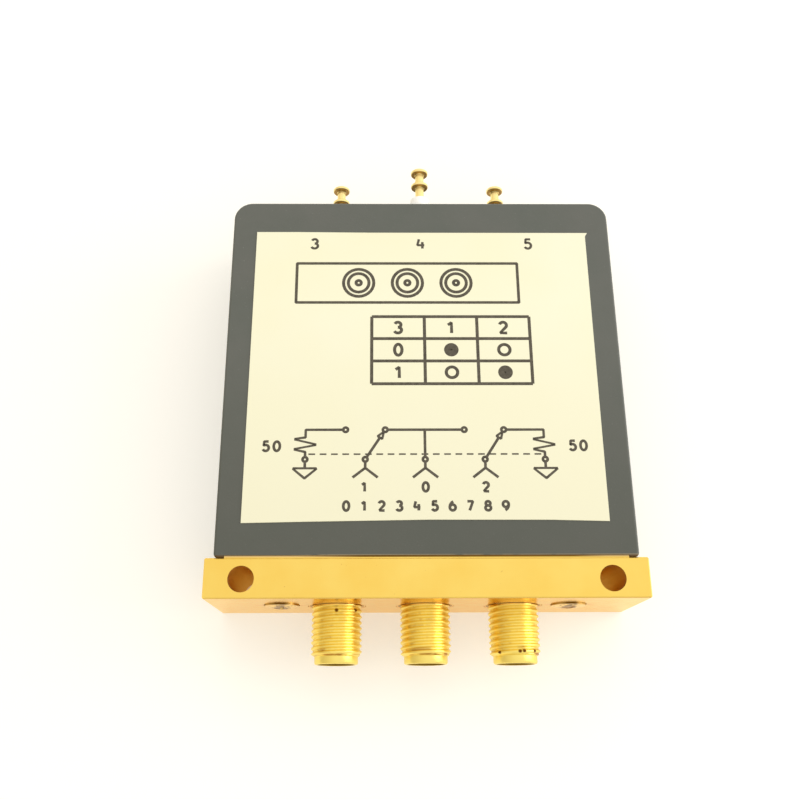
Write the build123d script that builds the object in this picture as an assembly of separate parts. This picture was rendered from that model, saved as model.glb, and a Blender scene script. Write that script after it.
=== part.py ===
from build123d import *
from math import radians, tan
import os

# Two-way electronic coaxial switch, in millimetres.
# +X is to the right, -Y is the way the three jacks face and +Z is up.
# The origin lies under the middle of the whole object, on the surface that it rests on.

# Front block: a plated bar that carries the three jacks
BLOCK_WIDTH = 54.1
BLOCK_DEPTH = 4.9
BLOCK_HEIGHT = 14.8
BLOCK_EDGE = 0.15
MOUNT_HOLE_RADIUS = 1.6
MOUNT_HOLE_SPACING = 45.0
MOUNT_HOLE_FROM_FRONT = 2.35

# Cover: a can that is open at the front and as high as the block
COVER_WIDTH = 52.0
COVER_LENGTH = 49.8
COVER_WALL = 0.8
COVER_REAR_CORNER = 2.5
COVER_FRONT_CORNER = 0.6
COVER_EDGE = 0.35
COVER_LIP_SETBACK = 0.3
COVER_LIP_POST = 1.3
COVER_LIP_GAP = 0.04
LIP_LEDGE_DROP = 0.08
TERMINAL_WINDOW_GAP = 0.25

# Label on the cover
LABEL_WIDTH = 45.5
LABEL_LENGTH = 40.5
LABEL_FROM_BLOCK = 4.5
LABEL_THICKNESS = 0.12
LABEL_CORNER = 0.3

# Jacks: 1/4-36 UNS thread over its crests, plain nose, dielectric and slotted contact
JACK_SPACING = 11.2
THREAD_RADIUS = 3.175
THREAD_LENGTH = 6.1
NOSE_RADIUS = 2.73
NOSE_LENGTH = 1.2
NOSE_CHAMFER = 0.15
SOCKET_RADIUS = 2.3
SOCKET_DEPTH = 1.95
BEAD_RADIUS = 2.05
SHANK_RADIUS = 3.65
FLANGE_RADIUS = 4.3
FLANGE_THICKNESS = 1.5
CONTACT_RADIUS = 0.635
CONTACT_BORE_RADIUS = 0.475
CONTACT_BORE_DEPTH = 3.0
CONTACT_SLOT_WIDTH = 0.2
CONTACT_SLOT_DEPTH = 2.4
FEED_RADIUS = 1.45
TAIL_RADIUS = 0.35
TAIL_LENGTH = 1.6

# Chassis: one machined piece with the RF cavity in front and the driver bay behind it
FIT_GAP = 0.1
FRONT_WALL = 3.0
REAR_WALL = 2.0
BAY_SIDE_WALL = 2.6
BAY_FLOOR = 2.1
DIVIDER_THICKNESS = 2.0
CHANNEL_WIDTH = 7.0
CHANNEL_LENGTH = 6.0
CAVITY_WIDTH = 32.0
CAVITY_LENGTH = 16.0
CAVITY_CORNER = 1.5
CHASSIS_HOLE_GAP = 0.03

# Cavity lid and absorber
LID_THICKNESS = 1.5
LID_MARGIN_X = 5.3
LID_MARGIN_FRONT = 1.5
LID_MARGIN_REAR = 1.2
ABSORBER_WIDTH = 28.0
ABSORBER_LENGTH = 12.0
ABSORBER_THICKNESS = 1.5

# Screws: shank and head radii, lengths and the depth of the countersunk cones
SCREW_CROSS_WIDTH = 0.5
SCREW_CROSS_DEPTH = 0.6
SCREW_CROSS_SHARE = 0.55
HEAD_RIM = 0.15
FRONT_SCREW_SPREAD = 36.2
FRONT_SCREW_FROM_TOP = 6.3
FRONT_SCREW_SHANK = 1.0
FRONT_SCREW_HEAD = 2.2
FRONT_SCREW_LENGTH = 8.4
FRONT_SCREW_DOME = 0.45
LID_SCREW_SHANK = 0.7
LID_SCREW_HEAD = 1.4
LID_SCREW_LENGTH = 4.2
LID_SCREW_SIDE_INSET = 2.5
LID_SCREW_END_INSET = 3.0
COVER_SCREW_SHANK = 0.9
COVER_SCREW_HEAD = 1.8
COVER_SCREW_LENGTH = 5.0
COVER_SCREW_SPREAD = 41.0
COVER_SCREW_FROM_BLOCK = 8.6
BOARD_SCREW_SHANK = 0.7
BOARD_SCREW_HEAD = 1.3
BOARD_SCREW_HEAD_HEIGHT = 0.9
BOARD_SCREW_HEAD_EDGE = 0.2
BOARD_SCREW_LENGTH = 3.8

# RF board, its lines and the parts on it
RF_BOARD_THICKNESS = 0.5
TRACE_THICKNESS = 0.04
TRACE_WIDTH = 1.1
TRACE_END_GAP = 0.3
CHIP_SPREAD = 13.0
CHIP_FROM_WALL = 12.5
CHIP_SIZE = 3.0
CHIP_HEIGHT = 0.9
CHIP_LAP = 0.5
TERMINATION_WIDTH = 0.8
TERMINATION_LENGTH = 1.6
TERMINATION_HEIGHT = 0.45
TERMINATION_FROM_CHIP = 3.2
DC_BLOCK_WIDTH = 0.5
DC_BLOCK_LENGTH = 1.0
DC_BLOCK_FROM_WALL = 4.5
BIAS_SPREAD = 19.0
BIAS_PIN_RADIUS = 0.23
BIAS_PIN_OVERHANG = 2.4
BIAS_BEAD_RADIUS = 0.8
BIAS_TRACE_WIDTH = 0.4

# Driver board and the parts on it
DRIVER_BOARD_LENGTH = 14.5
DRIVER_BOARD_THICKNESS = 1.0
BOSS_RADIUS = 2.0
BOSS_INSET = 2.6
DRIVER_IC_BODY = (4.9, 3.9, 1.4)
DRIVER_IC_AT = (-8.5, -1.0)
INVERTER_BODY = (3.0, 3.0, 1.0)
INVERTER_AT = (0.0, -1.5)
REGULATOR_BODY = (6.5, 3.5, 1.6)
REGULATOR_AT = (9.5, -1.5)
IC_LEG = (0.4, 1.0, 0.3)
IC_LEGS_PER_SIDE = 4
REGULATOR_LEGS = 3
DIODE_BODY = (2.7, 1.6, 1.1)
DIODE_AT = (6.0, 3.6)
SUPPLY_CAPACITOR_BODY = (3.5, 2.8, 1.9)
SUPPLY_CAPACITOR_AT = (0.0, 3.4)
BIAS_CAPACITOR_BODY = (3.5, 2.8, 1.9)
BIAS_CAPACITOR_AT = (-6.5, 4.2)
SMALL_PART = (2.0, 1.25, 0.6)
MOULDED_EDGE_SHARE = 0.1
CHIP_CAPACITORS_AT = ((-14.0, -2.0), (-14.0, 1.0), (14.8, 0.5), (4.2, -3.9))
CHIP_RESISTORS_AT = ((-4.0, -3.9), (-4.0, 0.6), (4.2, 0.6), (10.5, 3.6), (-11.5, 3.6))

# Turret terminals, their sleeves and leads
TERMINAL_SPREAD = 23.0
SIDE_TERMINAL_FROM_TOP = 7.4
SUPPLY_TERMINAL_FROM_TOP = 2.9
TERMINAL_STEM_RADIUS = 0.6
TERMINAL_DISC_RADIUS = 1.2
TERMINAL_DISC_THICKNESS = 0.5
TERMINAL_DISC_PITCH = 2.2
TERMINAL_REACH = 6.9
TERMINAL_TAIL = 1.5
SLEEVE_RADIUS = 1.35
SLEEVE_REACH = 2.2
LEAD_RADIUS = 0.3
LEAD_RUN = 1.2
LEAD_HUMP = 1.4
LEAD_FALL = 0.3
LEAD_PAD_INSET = 1.3
BEND_SHARE = 0.45

# Places along Y, from the tips of the jacks to the ends of the terminals
OBJECT_LENGTH = THREAD_LENGTH + NOSE_LENGTH + BLOCK_DEPTH + COVER_LENGTH + TERMINAL_REACH
TIP_Y = -OBJECT_LENGTH / 2
THREAD_END_Y = TIP_Y + NOSE_LENGTH
BLOCK_FRONT_Y = THREAD_END_Y + THREAD_LENGTH
BLOCK_BACK_Y = BLOCK_FRONT_Y + BLOCK_DEPTH
COVER_BACK_Y = BLOCK_BACK_Y + COVER_LENGTH
CHASSIS_BACK_Y = COVER_BACK_Y - COVER_WALL - FIT_GAP
CAVITY_FRONT_Y = BLOCK_BACK_Y + FRONT_WALL
CAVITY_BACK_Y = CAVITY_FRONT_Y + CHANNEL_LENGTH + CAVITY_LENGTH
BAY_FRONT_Y = CAVITY_BACK_Y + DIVIDER_THICKNESS
BAY_BACK_Y = CHASSIS_BACK_Y - REAR_WALL

# Places along X and Z that several pieces share
PORT_X = {"port_1": -JACK_SPACING, "common": 0.0, "port_2": JACK_SPACING}
JACK_Z = BLOCK_HEIGHT / 2
BOARD_LEVEL = JACK_Z - TAIL_RADIUS
CAVITY_FLOOR_Z = BOARD_LEVEL - TRACE_THICKNESS - RF_BOARD_THICKNESS
CHASSIS_WIDTH = COVER_WIDTH - 2 * (COVER_WALL + FIT_GAP)
CHASSIS_BOTTOM_Z = COVER_WALL
CHASSIS_TOP_Z = BLOCK_HEIGHT - COVER_WALL - FIT_GAP
LID_BOTTOM_Z = CHASSIS_TOP_Z - LID_THICKNESS
BAY_FLOOR_Z = CHASSIS_BOTTOM_Z + BAY_FLOOR
BAY_WIDTH = CHASSIS_WIDTH - 2 * BAY_SIDE_WALL
DRIVER_BOARD_WIDTH = BAY_WIDTH - 2 * FIT_GAP
DRIVER_BOARD_FRONT_Y = BAY_FRONT_Y + FIT_GAP
DRIVER_BOARD_BACK_Y = DRIVER_BOARD_FRONT_Y + DRIVER_BOARD_LENGTH
DRIVER_BOARD_MIDDLE_Y = (DRIVER_BOARD_FRONT_Y + DRIVER_BOARD_BACK_Y) / 2
CHIP_Y = CAVITY_FRONT_Y + CHIP_FROM_WALL
TERMINATION_Y = CHIP_Y + TERMINATION_FROM_CHIP
BIAS_PIN_Z = BOARD_LEVEL + BIAS_PIN_RADIUS
LID_WIDTH = CAVITY_WIDTH + 2 * LID_MARGIN_X
LID_FRONT_Y = BLOCK_BACK_Y + LID_MARGIN_FRONT
LID_BACK_Y = CAVITY_BACK_Y + LID_MARGIN_REAR
SIDE_TERMINAL_Z = BLOCK_HEIGHT - SIDE_TERMINAL_FROM_TOP
TERMINALS = {
    "control": (-TERMINAL_SPREAD / 2, SIDE_TERMINAL_Z),
    "supply": (0.0, BLOCK_HEIGHT - SUPPLY_TERMINAL_FROM_TOP),
    "ground": (TERMINAL_SPREAD / 2, SIDE_TERMINAL_Z),
}


def block_between(low, high):
    """A box from its lowest corner to its highest one."""
    size = [h - l for l, h in zip(low, high)]
    middle = [(l + h) / 2 for l, h in zip(low, high)]
    return Pos(*middle) * Box(*size)


def rod_y(radius, x, z, front_y, back_y):
    """A round rod along Y."""
    place = Pos(x, (front_y + back_y) / 2, z) * Rot(90, 0, 0)
    return place * Cylinder(radius, back_y - front_y)


def rod_z(radius, x, y, bottom_z, top_z):
    """A round rod along Z."""
    return Pos(x, y, (bottom_z + top_z) / 2) * Cylinder(radius, top_z - bottom_z)


def plate(plan, bottom_z, top_z):
    """A plan drawn on XY, made solid between two heights."""
    return extrude(Pos(0, 0, bottom_z) * plan, top_z - bottom_z)


def rounded_rear_plan(width, front_y, back_y, front_radius, rear_radius):
    """A rectangle with its own corner radius at the front and at the rear."""
    middle_y = (front_y + back_y) / 2
    plan = Pos(0, middle_y) * Rectangle(width, back_y - front_y)
    corners = plan.vertices().sort_by(Axis.Y)
    plan = fillet(corners[2:], rear_radius)
    if front_radius > 0:
        plan = fillet(plan.vertices().sort_by(Axis.Y)[:2], front_radius)
    return plan


def countersink(head, shank, gap=0.0):
    """A countersunk head pointing down, with its rim's top at the origin."""
    depth = head - shank
    rim = Pos(0, 0, -HEAD_RIM / 2) * Cylinder(head + gap, HEAD_RIM)
    cone = Pos(0, 0, -HEAD_RIM - depth / 2) * Cone(shank + gap, head + gap, depth)
    return rim + cone


def countersunk_screw(head, shank, length, dome=0.0):
    """A cross-recess screw pointing down, with its rim's top at the origin."""
    screw = countersink(head, shank) + rod_z(shank, 0, 0, -length, -HEAD_RIM)
    if dome > 0:
        sphere_radius = (head**2 + dome**2) / (2 * dome)
        cap = Pos(0, 0, dome - sphere_radius) * Sphere(sphere_radius)
        screw += cap & rod_z(head, 0, 0, 0, dome)
    return screw - cross_recess(head, dome)


def cross_recess(head, top_z):
    """The cross that the driver turns, cut down from the top of a head."""
    reach = SCREW_CROSS_SHARE * 2 * head
    depth = top_z + SCREW_CROSS_DEPTH
    place = Pos(0, 0, top_z - depth / 2)
    return place * (Box(reach, SCREW_CROSS_WIDTH, depth) + Box(SCREW_CROSS_WIDTH, reach, depth))


def front_screw_places():
    """The two front screws, with their heads facing the jacks' side."""
    z = BLOCK_HEIGHT - FRONT_SCREW_FROM_TOP
    for side in (-1, 1):
        yield Pos(side * FRONT_SCREW_SPREAD / 2, BLOCK_FRONT_Y, z) * Rot(90, 0, 0)


def cover_screw_places():
    """The two screws under the cover, with their heads facing down."""
    y = BLOCK_BACK_Y + COVER_SCREW_FROM_BLOCK
    for side in (-1, 1):
        yield Pos(side * COVER_SCREW_SPREAD / 2, y, 0) * Rot(180, 0, 0)


def lid_screw_spots():
    """The lid's screws: one row at each side and a pair between the launch channels."""
    side_x = LID_WIDTH / 2 - LID_SCREW_SIDE_INSET
    middle_x = JACK_SPACING / 2
    front_y = LID_FRONT_Y + LID_SCREW_END_INSET
    back_y = LID_BACK_Y - LID_SCREW_END_INSET
    spots = [(side * side_x, y) for side in (-1, 1) for y in (front_y, back_y)]
    return spots + [(side * middle_x, front_y) for side in (-1, 1)]


def boss_spots():
    """The bosses under the corners of the driver board."""
    x = DRIVER_BOARD_WIDTH / 2 - BOSS_INSET
    rows = (DRIVER_BOARD_FRONT_Y + BOSS_INSET, DRIVER_BOARD_BACK_Y - BOSS_INSET)
    return [(side * x, y) for side in (-1, 1) for y in rows]


def mount_hole_spots():
    """The two holes through the front block, from top to bottom."""
    y = BLOCK_FRONT_Y + MOUNT_HOLE_FROM_FRONT
    return [(side * MOUNT_HOLE_SPACING / 2, y) for side in (-1, 1)]


def front_block():
    """The bar, with a ledge for the cover's lip, bored for the jacks and all the screws."""
    half = BLOCK_WIDTH / 2
    body = block_between((-half, BLOCK_FRONT_Y, 0), (half, BLOCK_BACK_Y, BLOCK_HEIGHT))
    body = chamfer(body.edges(), BLOCK_EDGE)
    ledge_x = COVER_WIDTH / 2 - COVER_LIP_POST - COVER_LIP_GAP
    ledge_back_y = BLOCK_BACK_Y + COVER_LIP_SETBACK - COVER_LIP_GAP
    body += block_between(
        (-ledge_x, BLOCK_BACK_Y - BLOCK_EDGE, CHASSIS_TOP_Z + COVER_LIP_GAP),
        (ledge_x, ledge_back_y, BLOCK_HEIGHT - LIP_LEDGE_DROP),
    )
    for x, y in mount_hole_spots():
        body -= rod_z(MOUNT_HOLE_RADIUS, x, y, 0, BLOCK_HEIGHT)
    for x in PORT_X.values():
        body -= rod_y(SHANK_RADIUS + FIT_GAP / 2, x, JACK_Z, BLOCK_FRONT_Y, BLOCK_BACK_Y)
        pocket_y = BLOCK_BACK_Y - FLANGE_THICKNESS
        body -= rod_y(FLANGE_RADIUS + FIT_GAP / 2, x, JACK_Z, pocket_y, BLOCK_BACK_Y)
    for place in front_screw_places():
        body -= place * countersink(FRONT_SCREW_HEAD, FRONT_SCREW_SHANK, FIT_GAP)
        body -= place * rod_z(FRONT_SCREW_SHANK + FIT_GAP, 0, 0, -BLOCK_DEPTH, 0)
    return body


def cover_can():
    """The can: outer shape, hollow, set-back front lip, terminal and screw holes."""
    plan = rounded_rear_plan(
        COVER_WIDTH, BLOCK_BACK_Y, COVER_BACK_Y, COVER_FRONT_CORNER, COVER_REAR_CORNER
    )
    body = plate(plan, 0, BLOCK_HEIGHT)
    rims = body.faces().sort_by(Axis.Z)
    body = fillet(rims[0].edges() + rims[-1].edges(), COVER_EDGE)
    inner = rounded_rear_plan(
        COVER_WIDTH - 2 * COVER_WALL,
        BLOCK_BACK_Y - COVER_WALL,
        COVER_BACK_Y - COVER_WALL,
        0,
        COVER_REAR_CORNER - COVER_WALL,
    )
    body -= plate(inner, COVER_WALL, BLOCK_HEIGHT - COVER_WALL)
    lip_x = COVER_WIDTH / 2 - COVER_LIP_POST
    lip_back_y = BLOCK_BACK_Y + COVER_LIP_SETBACK
    body -= block_between((-lip_x, BLOCK_BACK_Y, 0), (lip_x, lip_back_y, BLOCK_HEIGHT))
    for x, z in TERMINALS.values():
        window = SLEEVE_RADIUS + TERMINAL_WINDOW_GAP
        body -= rod_y(window, x, z, BAY_BACK_Y, COVER_BACK_Y)
    for place in cover_screw_places():
        body -= place * countersink(COVER_SCREW_HEAD, COVER_SCREW_SHANK, CHASSIS_HOLE_GAP)
    return body


def label():
    """The label, lying on the cover."""
    middle_y = BLOCK_BACK_Y + LABEL_FROM_BLOCK + LABEL_LENGTH / 2
    plan = Pos(0, middle_y) * RectangleRounded(LABEL_WIDTH, LABEL_LENGTH, LABEL_CORNER)
    return plate(plan, BLOCK_HEIGHT, BLOCK_HEIGHT + LABEL_THICKNESS)


def jack_shell(x):
    """A jack's outer conductor: nose, threaded barrel, shank in the block and the flange behind it."""
    nose = rod_y(NOSE_RADIUS, x, JACK_Z, TIP_Y, THREAD_END_Y)
    nose = chamfer(nose.edges().group_by(Axis.Y)[0], NOSE_CHAMFER)
    shell = nose + rod_y(THREAD_RADIUS, x, JACK_Z, THREAD_END_Y, BLOCK_FRONT_Y)
    shell += rod_y(SHANK_RADIUS, x, JACK_Z, BLOCK_FRONT_Y, BLOCK_BACK_Y)
    flange_y = BLOCK_BACK_Y - FLANGE_THICKNESS
    shell += rod_y(FLANGE_RADIUS, x, JACK_Z, flange_y, BLOCK_BACK_Y)
    shell -= rod_y(SOCKET_RADIUS, x, JACK_Z, TIP_Y, TIP_Y + SOCKET_DEPTH)
    return shell - rod_y(BEAD_RADIUS, x, JACK_Z, TIP_Y, BLOCK_BACK_Y)


def jack_bead(x):
    """A jack's dielectric, with a thinner end through the chassis wall."""
    face_y = TIP_Y + SOCKET_DEPTH
    bead = rod_y(BEAD_RADIUS, x, JACK_Z, face_y, BLOCK_BACK_Y)
    bead += rod_y(FEED_RADIUS, x, JACK_Z, BLOCK_BACK_Y, CAVITY_FRONT_Y)
    bead -= rod_y(CONTACT_RADIUS, x, JACK_Z, face_y, BLOCK_BACK_Y)
    return bead - rod_y(TAIL_RADIUS, x, JACK_Z, BLOCK_BACK_Y, CAVITY_FRONT_Y)


def jack_contact(x):
    """A jack's centre contact: slotted socket in front, solder tail behind."""
    face_y = TIP_Y + SOCKET_DEPTH
    contact = rod_y(CONTACT_RADIUS, x, JACK_Z, face_y, BLOCK_BACK_Y)
    contact += rod_y(TAIL_RADIUS, x, JACK_Z, BLOCK_BACK_Y, CAVITY_FRONT_Y + TAIL_LENGTH)
    contact -= rod_y(CONTACT_BORE_RADIUS, x, JACK_Z, face_y, face_y + CONTACT_BORE_DEPTH)
    slot_middle_y = face_y + CONTACT_SLOT_DEPTH / 2
    for wide, high in ((CONTACT_SLOT_WIDTH, 2 * CONTACT_RADIUS), (2 * CONTACT_RADIUS, CONTACT_SLOT_WIDTH)):
        contact -= Pos(x, slot_middle_y, JACK_Z) * Box(wide, CONTACT_SLOT_DEPTH, high)
    return contact


def cavity_plan(gap=0.0):
    """The RF cavity seen from above: three launch channels that open into one chamber."""
    front_y = CAVITY_FRONT_Y + gap
    chamber_front_y = CAVITY_FRONT_Y + CHANNEL_LENGTH + gap
    back_y = CAVITY_BACK_Y - gap
    chamber_middle_y = (chamber_front_y + back_y) / 2
    chamber = RectangleRounded(CAVITY_WIDTH - 2 * gap, back_y - chamber_front_y, CAVITY_CORNER - gap)
    plan = Pos(0, chamber_middle_y) * chamber
    for x in PORT_X.values():
        channel = Rectangle(CHANNEL_WIDTH - 2 * gap, chamber_middle_y - front_y)
        plan += Pos(x, (front_y + chamber_middle_y) / 2) * channel
    return plan


def lid_plan(gap=0.0):
    """The cavity lid seen from above."""
    middle_y = (LID_FRONT_Y + LID_BACK_Y) / 2
    length = LID_BACK_Y - LID_FRONT_Y - 2 * gap
    return Pos(0, middle_y) * RectangleRounded(LID_WIDTH - 2 * gap, length, CAVITY_CORNER)


def chassis():
    """The inner housing: cavity, lid seat, driver bay, bosses and all of its holes."""
    plan = rounded_rear_plan(
        CHASSIS_WIDTH, BLOCK_BACK_Y, CHASSIS_BACK_Y, 0, COVER_REAR_CORNER - COVER_WALL - FIT_GAP
    )
    body = plate(plan, CHASSIS_BOTTOM_Z, CHASSIS_TOP_Z)
    body -= plate(cavity_plan(), CAVITY_FLOOR_Z, CHASSIS_TOP_Z)
    body -= plate(lid_plan(), LID_BOTTOM_Z, CHASSIS_TOP_Z)
    bay_middle_y = (BAY_FRONT_Y + BAY_BACK_Y) / 2
    bay = Pos(0, bay_middle_y) * RectangleRounded(BAY_WIDTH, BAY_BACK_Y - BAY_FRONT_Y, CAVITY_CORNER)
    body -= plate(bay, BAY_FLOOR_Z, CHASSIS_TOP_Z)
    boss_top_z = BOARD_LEVEL - DRIVER_BOARD_THICKNESS
    for x, y in boss_spots():
        body += rod_z(BOSS_RADIUS, x, y, BAY_FLOOR_Z, boss_top_z)
        screw_end_z = BOARD_LEVEL - BOARD_SCREW_LENGTH
        body -= rod_z(BOARD_SCREW_SHANK + CHASSIS_HOLE_GAP, x, y, screw_end_z, boss_top_z)
    for x in PORT_X.values():
        body -= rod_y(FEED_RADIUS, x, JACK_Z, BLOCK_BACK_Y, CAVITY_FRONT_Y)
    for place in front_screw_places():
        hole = FRONT_SCREW_SHANK + CHASSIS_HOLE_GAP
        body -= place * rod_z(hole, 0, 0, -FRONT_SCREW_LENGTH - FIT_GAP, -BLOCK_DEPTH)
    for x, y in lid_screw_spots():
        end_z = CHASSIS_TOP_Z - LID_SCREW_LENGTH - FIT_GAP
        body -= rod_z(LID_SCREW_SHANK + CHASSIS_HOLE_GAP, x, y, end_z, LID_BOTTOM_Z)
    for place in cover_screw_places():
        hole = COVER_SCREW_SHANK + CHASSIS_HOLE_GAP
        body -= place * countersink(COVER_SCREW_HEAD, COVER_SCREW_SHANK, CHASSIS_HOLE_GAP)
        body -= place * rod_z(hole, 0, 0, -COVER_SCREW_LENGTH - FIT_GAP, 0)
    for side in (-1, 1):
        x = side * BIAS_SPREAD / 2
        body -= rod_y(BIAS_BEAD_RADIUS, x, BIAS_PIN_Z, CAVITY_BACK_Y, BAY_FRONT_Y)
    for x, z in TERMINALS.values():
        body -= rod_y(SLEEVE_RADIUS, x, z, BAY_BACK_Y, CHASSIS_BACK_Y)
    return body


def rf_lid():
    """The cavity lid, with its countersunk screw holes."""
    lid = plate(lid_plan(FIT_GAP), LID_BOTTOM_Z, CHASSIS_TOP_Z)
    for x, y in lid_screw_spots():
        lid -= Pos(x, y, CHASSIS_TOP_Z) * countersink(LID_SCREW_HEAD, LID_SCREW_SHANK, CHASSIS_HOLE_GAP)
        lid -= rod_z(LID_SCREW_SHANK + CHASSIS_HOLE_GAP, x, y, LID_BOTTOM_Z, CHASSIS_TOP_Z)
    return lid


def rf_absorber():
    """The absorber pad, stuck under the lid over the chamber."""
    middle_y = CAVITY_FRONT_Y + CHANNEL_LENGTH + CAVITY_LENGTH / 2
    pad = Pos(0, middle_y) * RectangleRounded(ABSORBER_WIDTH, ABSORBER_LENGTH, CAVITY_CORNER)
    return plate(pad, LID_BOTTOM_Z - ABSORBER_THICKNESS, LID_BOTTOM_Z)


def rf_board():
    """The microstrip board, cut to the cavity's plan."""
    top_z = BOARD_LEVEL - TRACE_THICKNESS
    return plate(cavity_plan(FIT_GAP), top_z - RF_BOARD_THICKNESS, top_z)


def trace(x1, y1, x2, y2, width=TRACE_WIDTH):
    """A straight line of metal on the RF board, from one point to another, with square ends."""
    half = width / 2
    low = (min(x1, x2) - half, min(y1, y2) - half, BOARD_LEVEL - TRACE_THICKNESS)
    high = (max(x1, x2) + half, max(y1, y2) + half, BOARD_LEVEL)
    return block_between(low, high)


def rf_traces():
    """The common line, the two port lines, the termination lines and the bias lines."""
    start_y = CAVITY_FRONT_Y + FIT_GAP + TRACE_END_GAP + TRACE_WIDTH / 2
    chip_x = CHIP_SPREAD / 2
    edge_x = CHIP_SIZE / 2 - CHIP_LAP - TRACE_WIDTH / 2
    inner_x = chip_x - edge_x - TRACE_WIDTH
    line = trace(0, start_y, 0, CHIP_Y) + trace(-inner_x, CHIP_Y, inner_x, CHIP_Y)
    lines = [line]
    for side in (-1, 1):
        port_x = side * JACK_SPACING
        outer_x = side * (chip_x + edge_x + TRACE_WIDTH)
        lines.append(trace(port_x, start_y, port_x, CHIP_Y) + trace(outer_x, CHIP_Y, port_x, CHIP_Y))
        load_x = side * chip_x
        first_y = CHIP_Y + CHIP_SIZE / 2 - CHIP_LAP + TERMINATION_WIDTH / 2
        lines.append(trace(load_x, first_y, load_x, TERMINATION_Y, TERMINATION_WIDTH))
        bias_x = side * BIAS_SPREAD / 2
        bias_y = CHIP_Y + CHIP_SIZE / 2 - BIAS_TRACE_WIDTH / 2
        bias_start_x = side * (chip_x + CHIP_SIZE / 2 - CHIP_LAP + BIAS_TRACE_WIDTH / 2)
        bias_end_y = CAVITY_BACK_Y - FIT_GAP - TRACE_END_GAP - BIAS_TRACE_WIDTH / 2
        feed = trace(bias_start_x, bias_y, bias_x, bias_y, BIAS_TRACE_WIDTH)
        lines.append(feed + trace(bias_x, bias_y, bias_x, bias_end_y, BIAS_TRACE_WIDTH))
    return lines


def part_on_board(x, y, size):
    """A small flat part standing on a board's upper side."""
    wide, long, high = size
    low = (x - wide / 2, y - long / 2, BOARD_LEVEL)
    high_corner = (x + wide / 2, y + long / 2, BOARD_LEVEL + high)
    return block_between(low, high_corner)


def moulded_part(x, y, size):
    """A moulded part with softened upper edges."""
    body = part_on_board(x, y, size)
    return chamfer(body.faces().sort_by(Axis.Z)[-1].edges(), MOULDED_EDGE_SHARE * size[2])


def legged_chip(at, size, legs_per_side, one_sided=False):
    """A chip with a row of flat legs along each long side."""
    x = at[0]
    y = DRIVER_BOARD_MIDDLE_Y + at[1]
    leg_wide, leg_long, leg_high = IC_LEG
    body = moulded_part(x, y, size)
    pitch = size[0] / legs_per_side
    for row in (-1, 1):
        count = 1 if one_sided and row > 0 else legs_per_side
        wide = leg_wide if count > 1 else pitch
        for index in range(count):
            leg_x = x + (index - (count - 1) / 2) * pitch
            leg_y = y + row * (size[1] + leg_long) / 2
            body += part_on_board(leg_x, leg_y, (wide, leg_long, leg_high))
    return body


def small_parts(places):
    """A group of equal chip parts on the driver board."""
    return [part_on_board(x, DRIVER_BOARD_MIDDLE_Y + y, SMALL_PART) for x, y in places]


def driver_board():
    """The driver board, with holes for its four screws."""
    plan = Pos(0, DRIVER_BOARD_MIDDLE_Y) * RectangleRounded(
        DRIVER_BOARD_WIDTH, DRIVER_BOARD_LENGTH, CAVITY_CORNER
    )
    board = plate(plan, BOARD_LEVEL - DRIVER_BOARD_THICKNESS, BOARD_LEVEL)
    for x, y in boss_spots():
        hole = BOARD_SCREW_SHANK + FIT_GAP
        board -= rod_z(hole, x, y, BOARD_LEVEL - DRIVER_BOARD_THICKNESS, BOARD_LEVEL)
    return board


def board_screw(x, y):
    """A pan-head screw through the driver board into its boss."""
    screw = rod_z(BOARD_SCREW_SHANK, x, y, BOARD_LEVEL - BOARD_SCREW_LENGTH, BOARD_LEVEL)
    top_z = BOARD_LEVEL + BOARD_SCREW_HEAD_HEIGHT
    head = rod_z(BOARD_SCREW_HEAD, x, y, BOARD_LEVEL, top_z)
    head = chamfer(head.edges().group_by(Axis.Z)[-1], BOARD_SCREW_HEAD_EDGE)
    return screw + head - Pos(x, y, top_z) * cross_recess(BOARD_SCREW_HEAD, 0.0)


def turret_terminal(x, z):
    """A turret terminal: stem through the wall, two solder discs outside."""
    end_y = COVER_BACK_Y + TERMINAL_REACH
    terminal = rod_y(TERMINAL_STEM_RADIUS, x, z, BAY_BACK_Y - TERMINAL_TAIL, end_y)
    for step in (0, 1):
        disc_end_y = end_y - step * TERMINAL_DISC_PITCH
        disc_y = disc_end_y - TERMINAL_DISC_THICKNESS
        terminal += rod_y(TERMINAL_DISC_RADIUS, x, z, disc_y, disc_end_y)
    return terminal


def terminal_sleeve(x, z):
    """The sleeve around a terminal, through the chassis and the cover."""
    end_y = COVER_BACK_Y + SLEEVE_REACH
    sleeve = rod_y(SLEEVE_RADIUS, x, z, BAY_BACK_Y, end_y)
    return sleeve - rod_y(TERMINAL_STEM_RADIUS, x, z, BAY_BACK_Y, end_y)


def bend_radii(points):
    """For each bend, the largest radius that its two runs allow."""
    radii = []
    for before, at, after in zip(points, points[1:], points[2:]):
        run_in = Vector(*at) - Vector(*before)
        run_out = Vector(*after) - Vector(*at)
        turn = run_in.get_angle(run_out)
        shorter = min(run_in.length, run_out.length)
        radii.append(BEND_SHARE * shorter / tan(radians(turn / 2)))
    return radii


def terminal_lead(x, z):
    """A bus-wire lead: from a terminal's tail, over and down onto the driver board."""
    start_y = BAY_BACK_Y - TERMINAL_TAIL
    pad_y = DRIVER_BOARD_BACK_Y - LEAD_PAD_INSET
    crest_z = z + LEAD_HUMP
    points = [
        (x, start_y, z),
        (x, start_y - LEAD_RUN, z),
        (x, (start_y - LEAD_RUN + pad_y) / 2, crest_z),
        (x, pad_y, crest_z - LEAD_FALL),
        (x, pad_y, BOARD_LEVEL),
    ]
    path = FilletPolyline(*points, radius=bend_radii(points))
    ring = Plane(origin=path @ 0, z_dir=path % 0) * Circle(LEAD_RADIUS)
    return sweep(ring, path=path)


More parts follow.
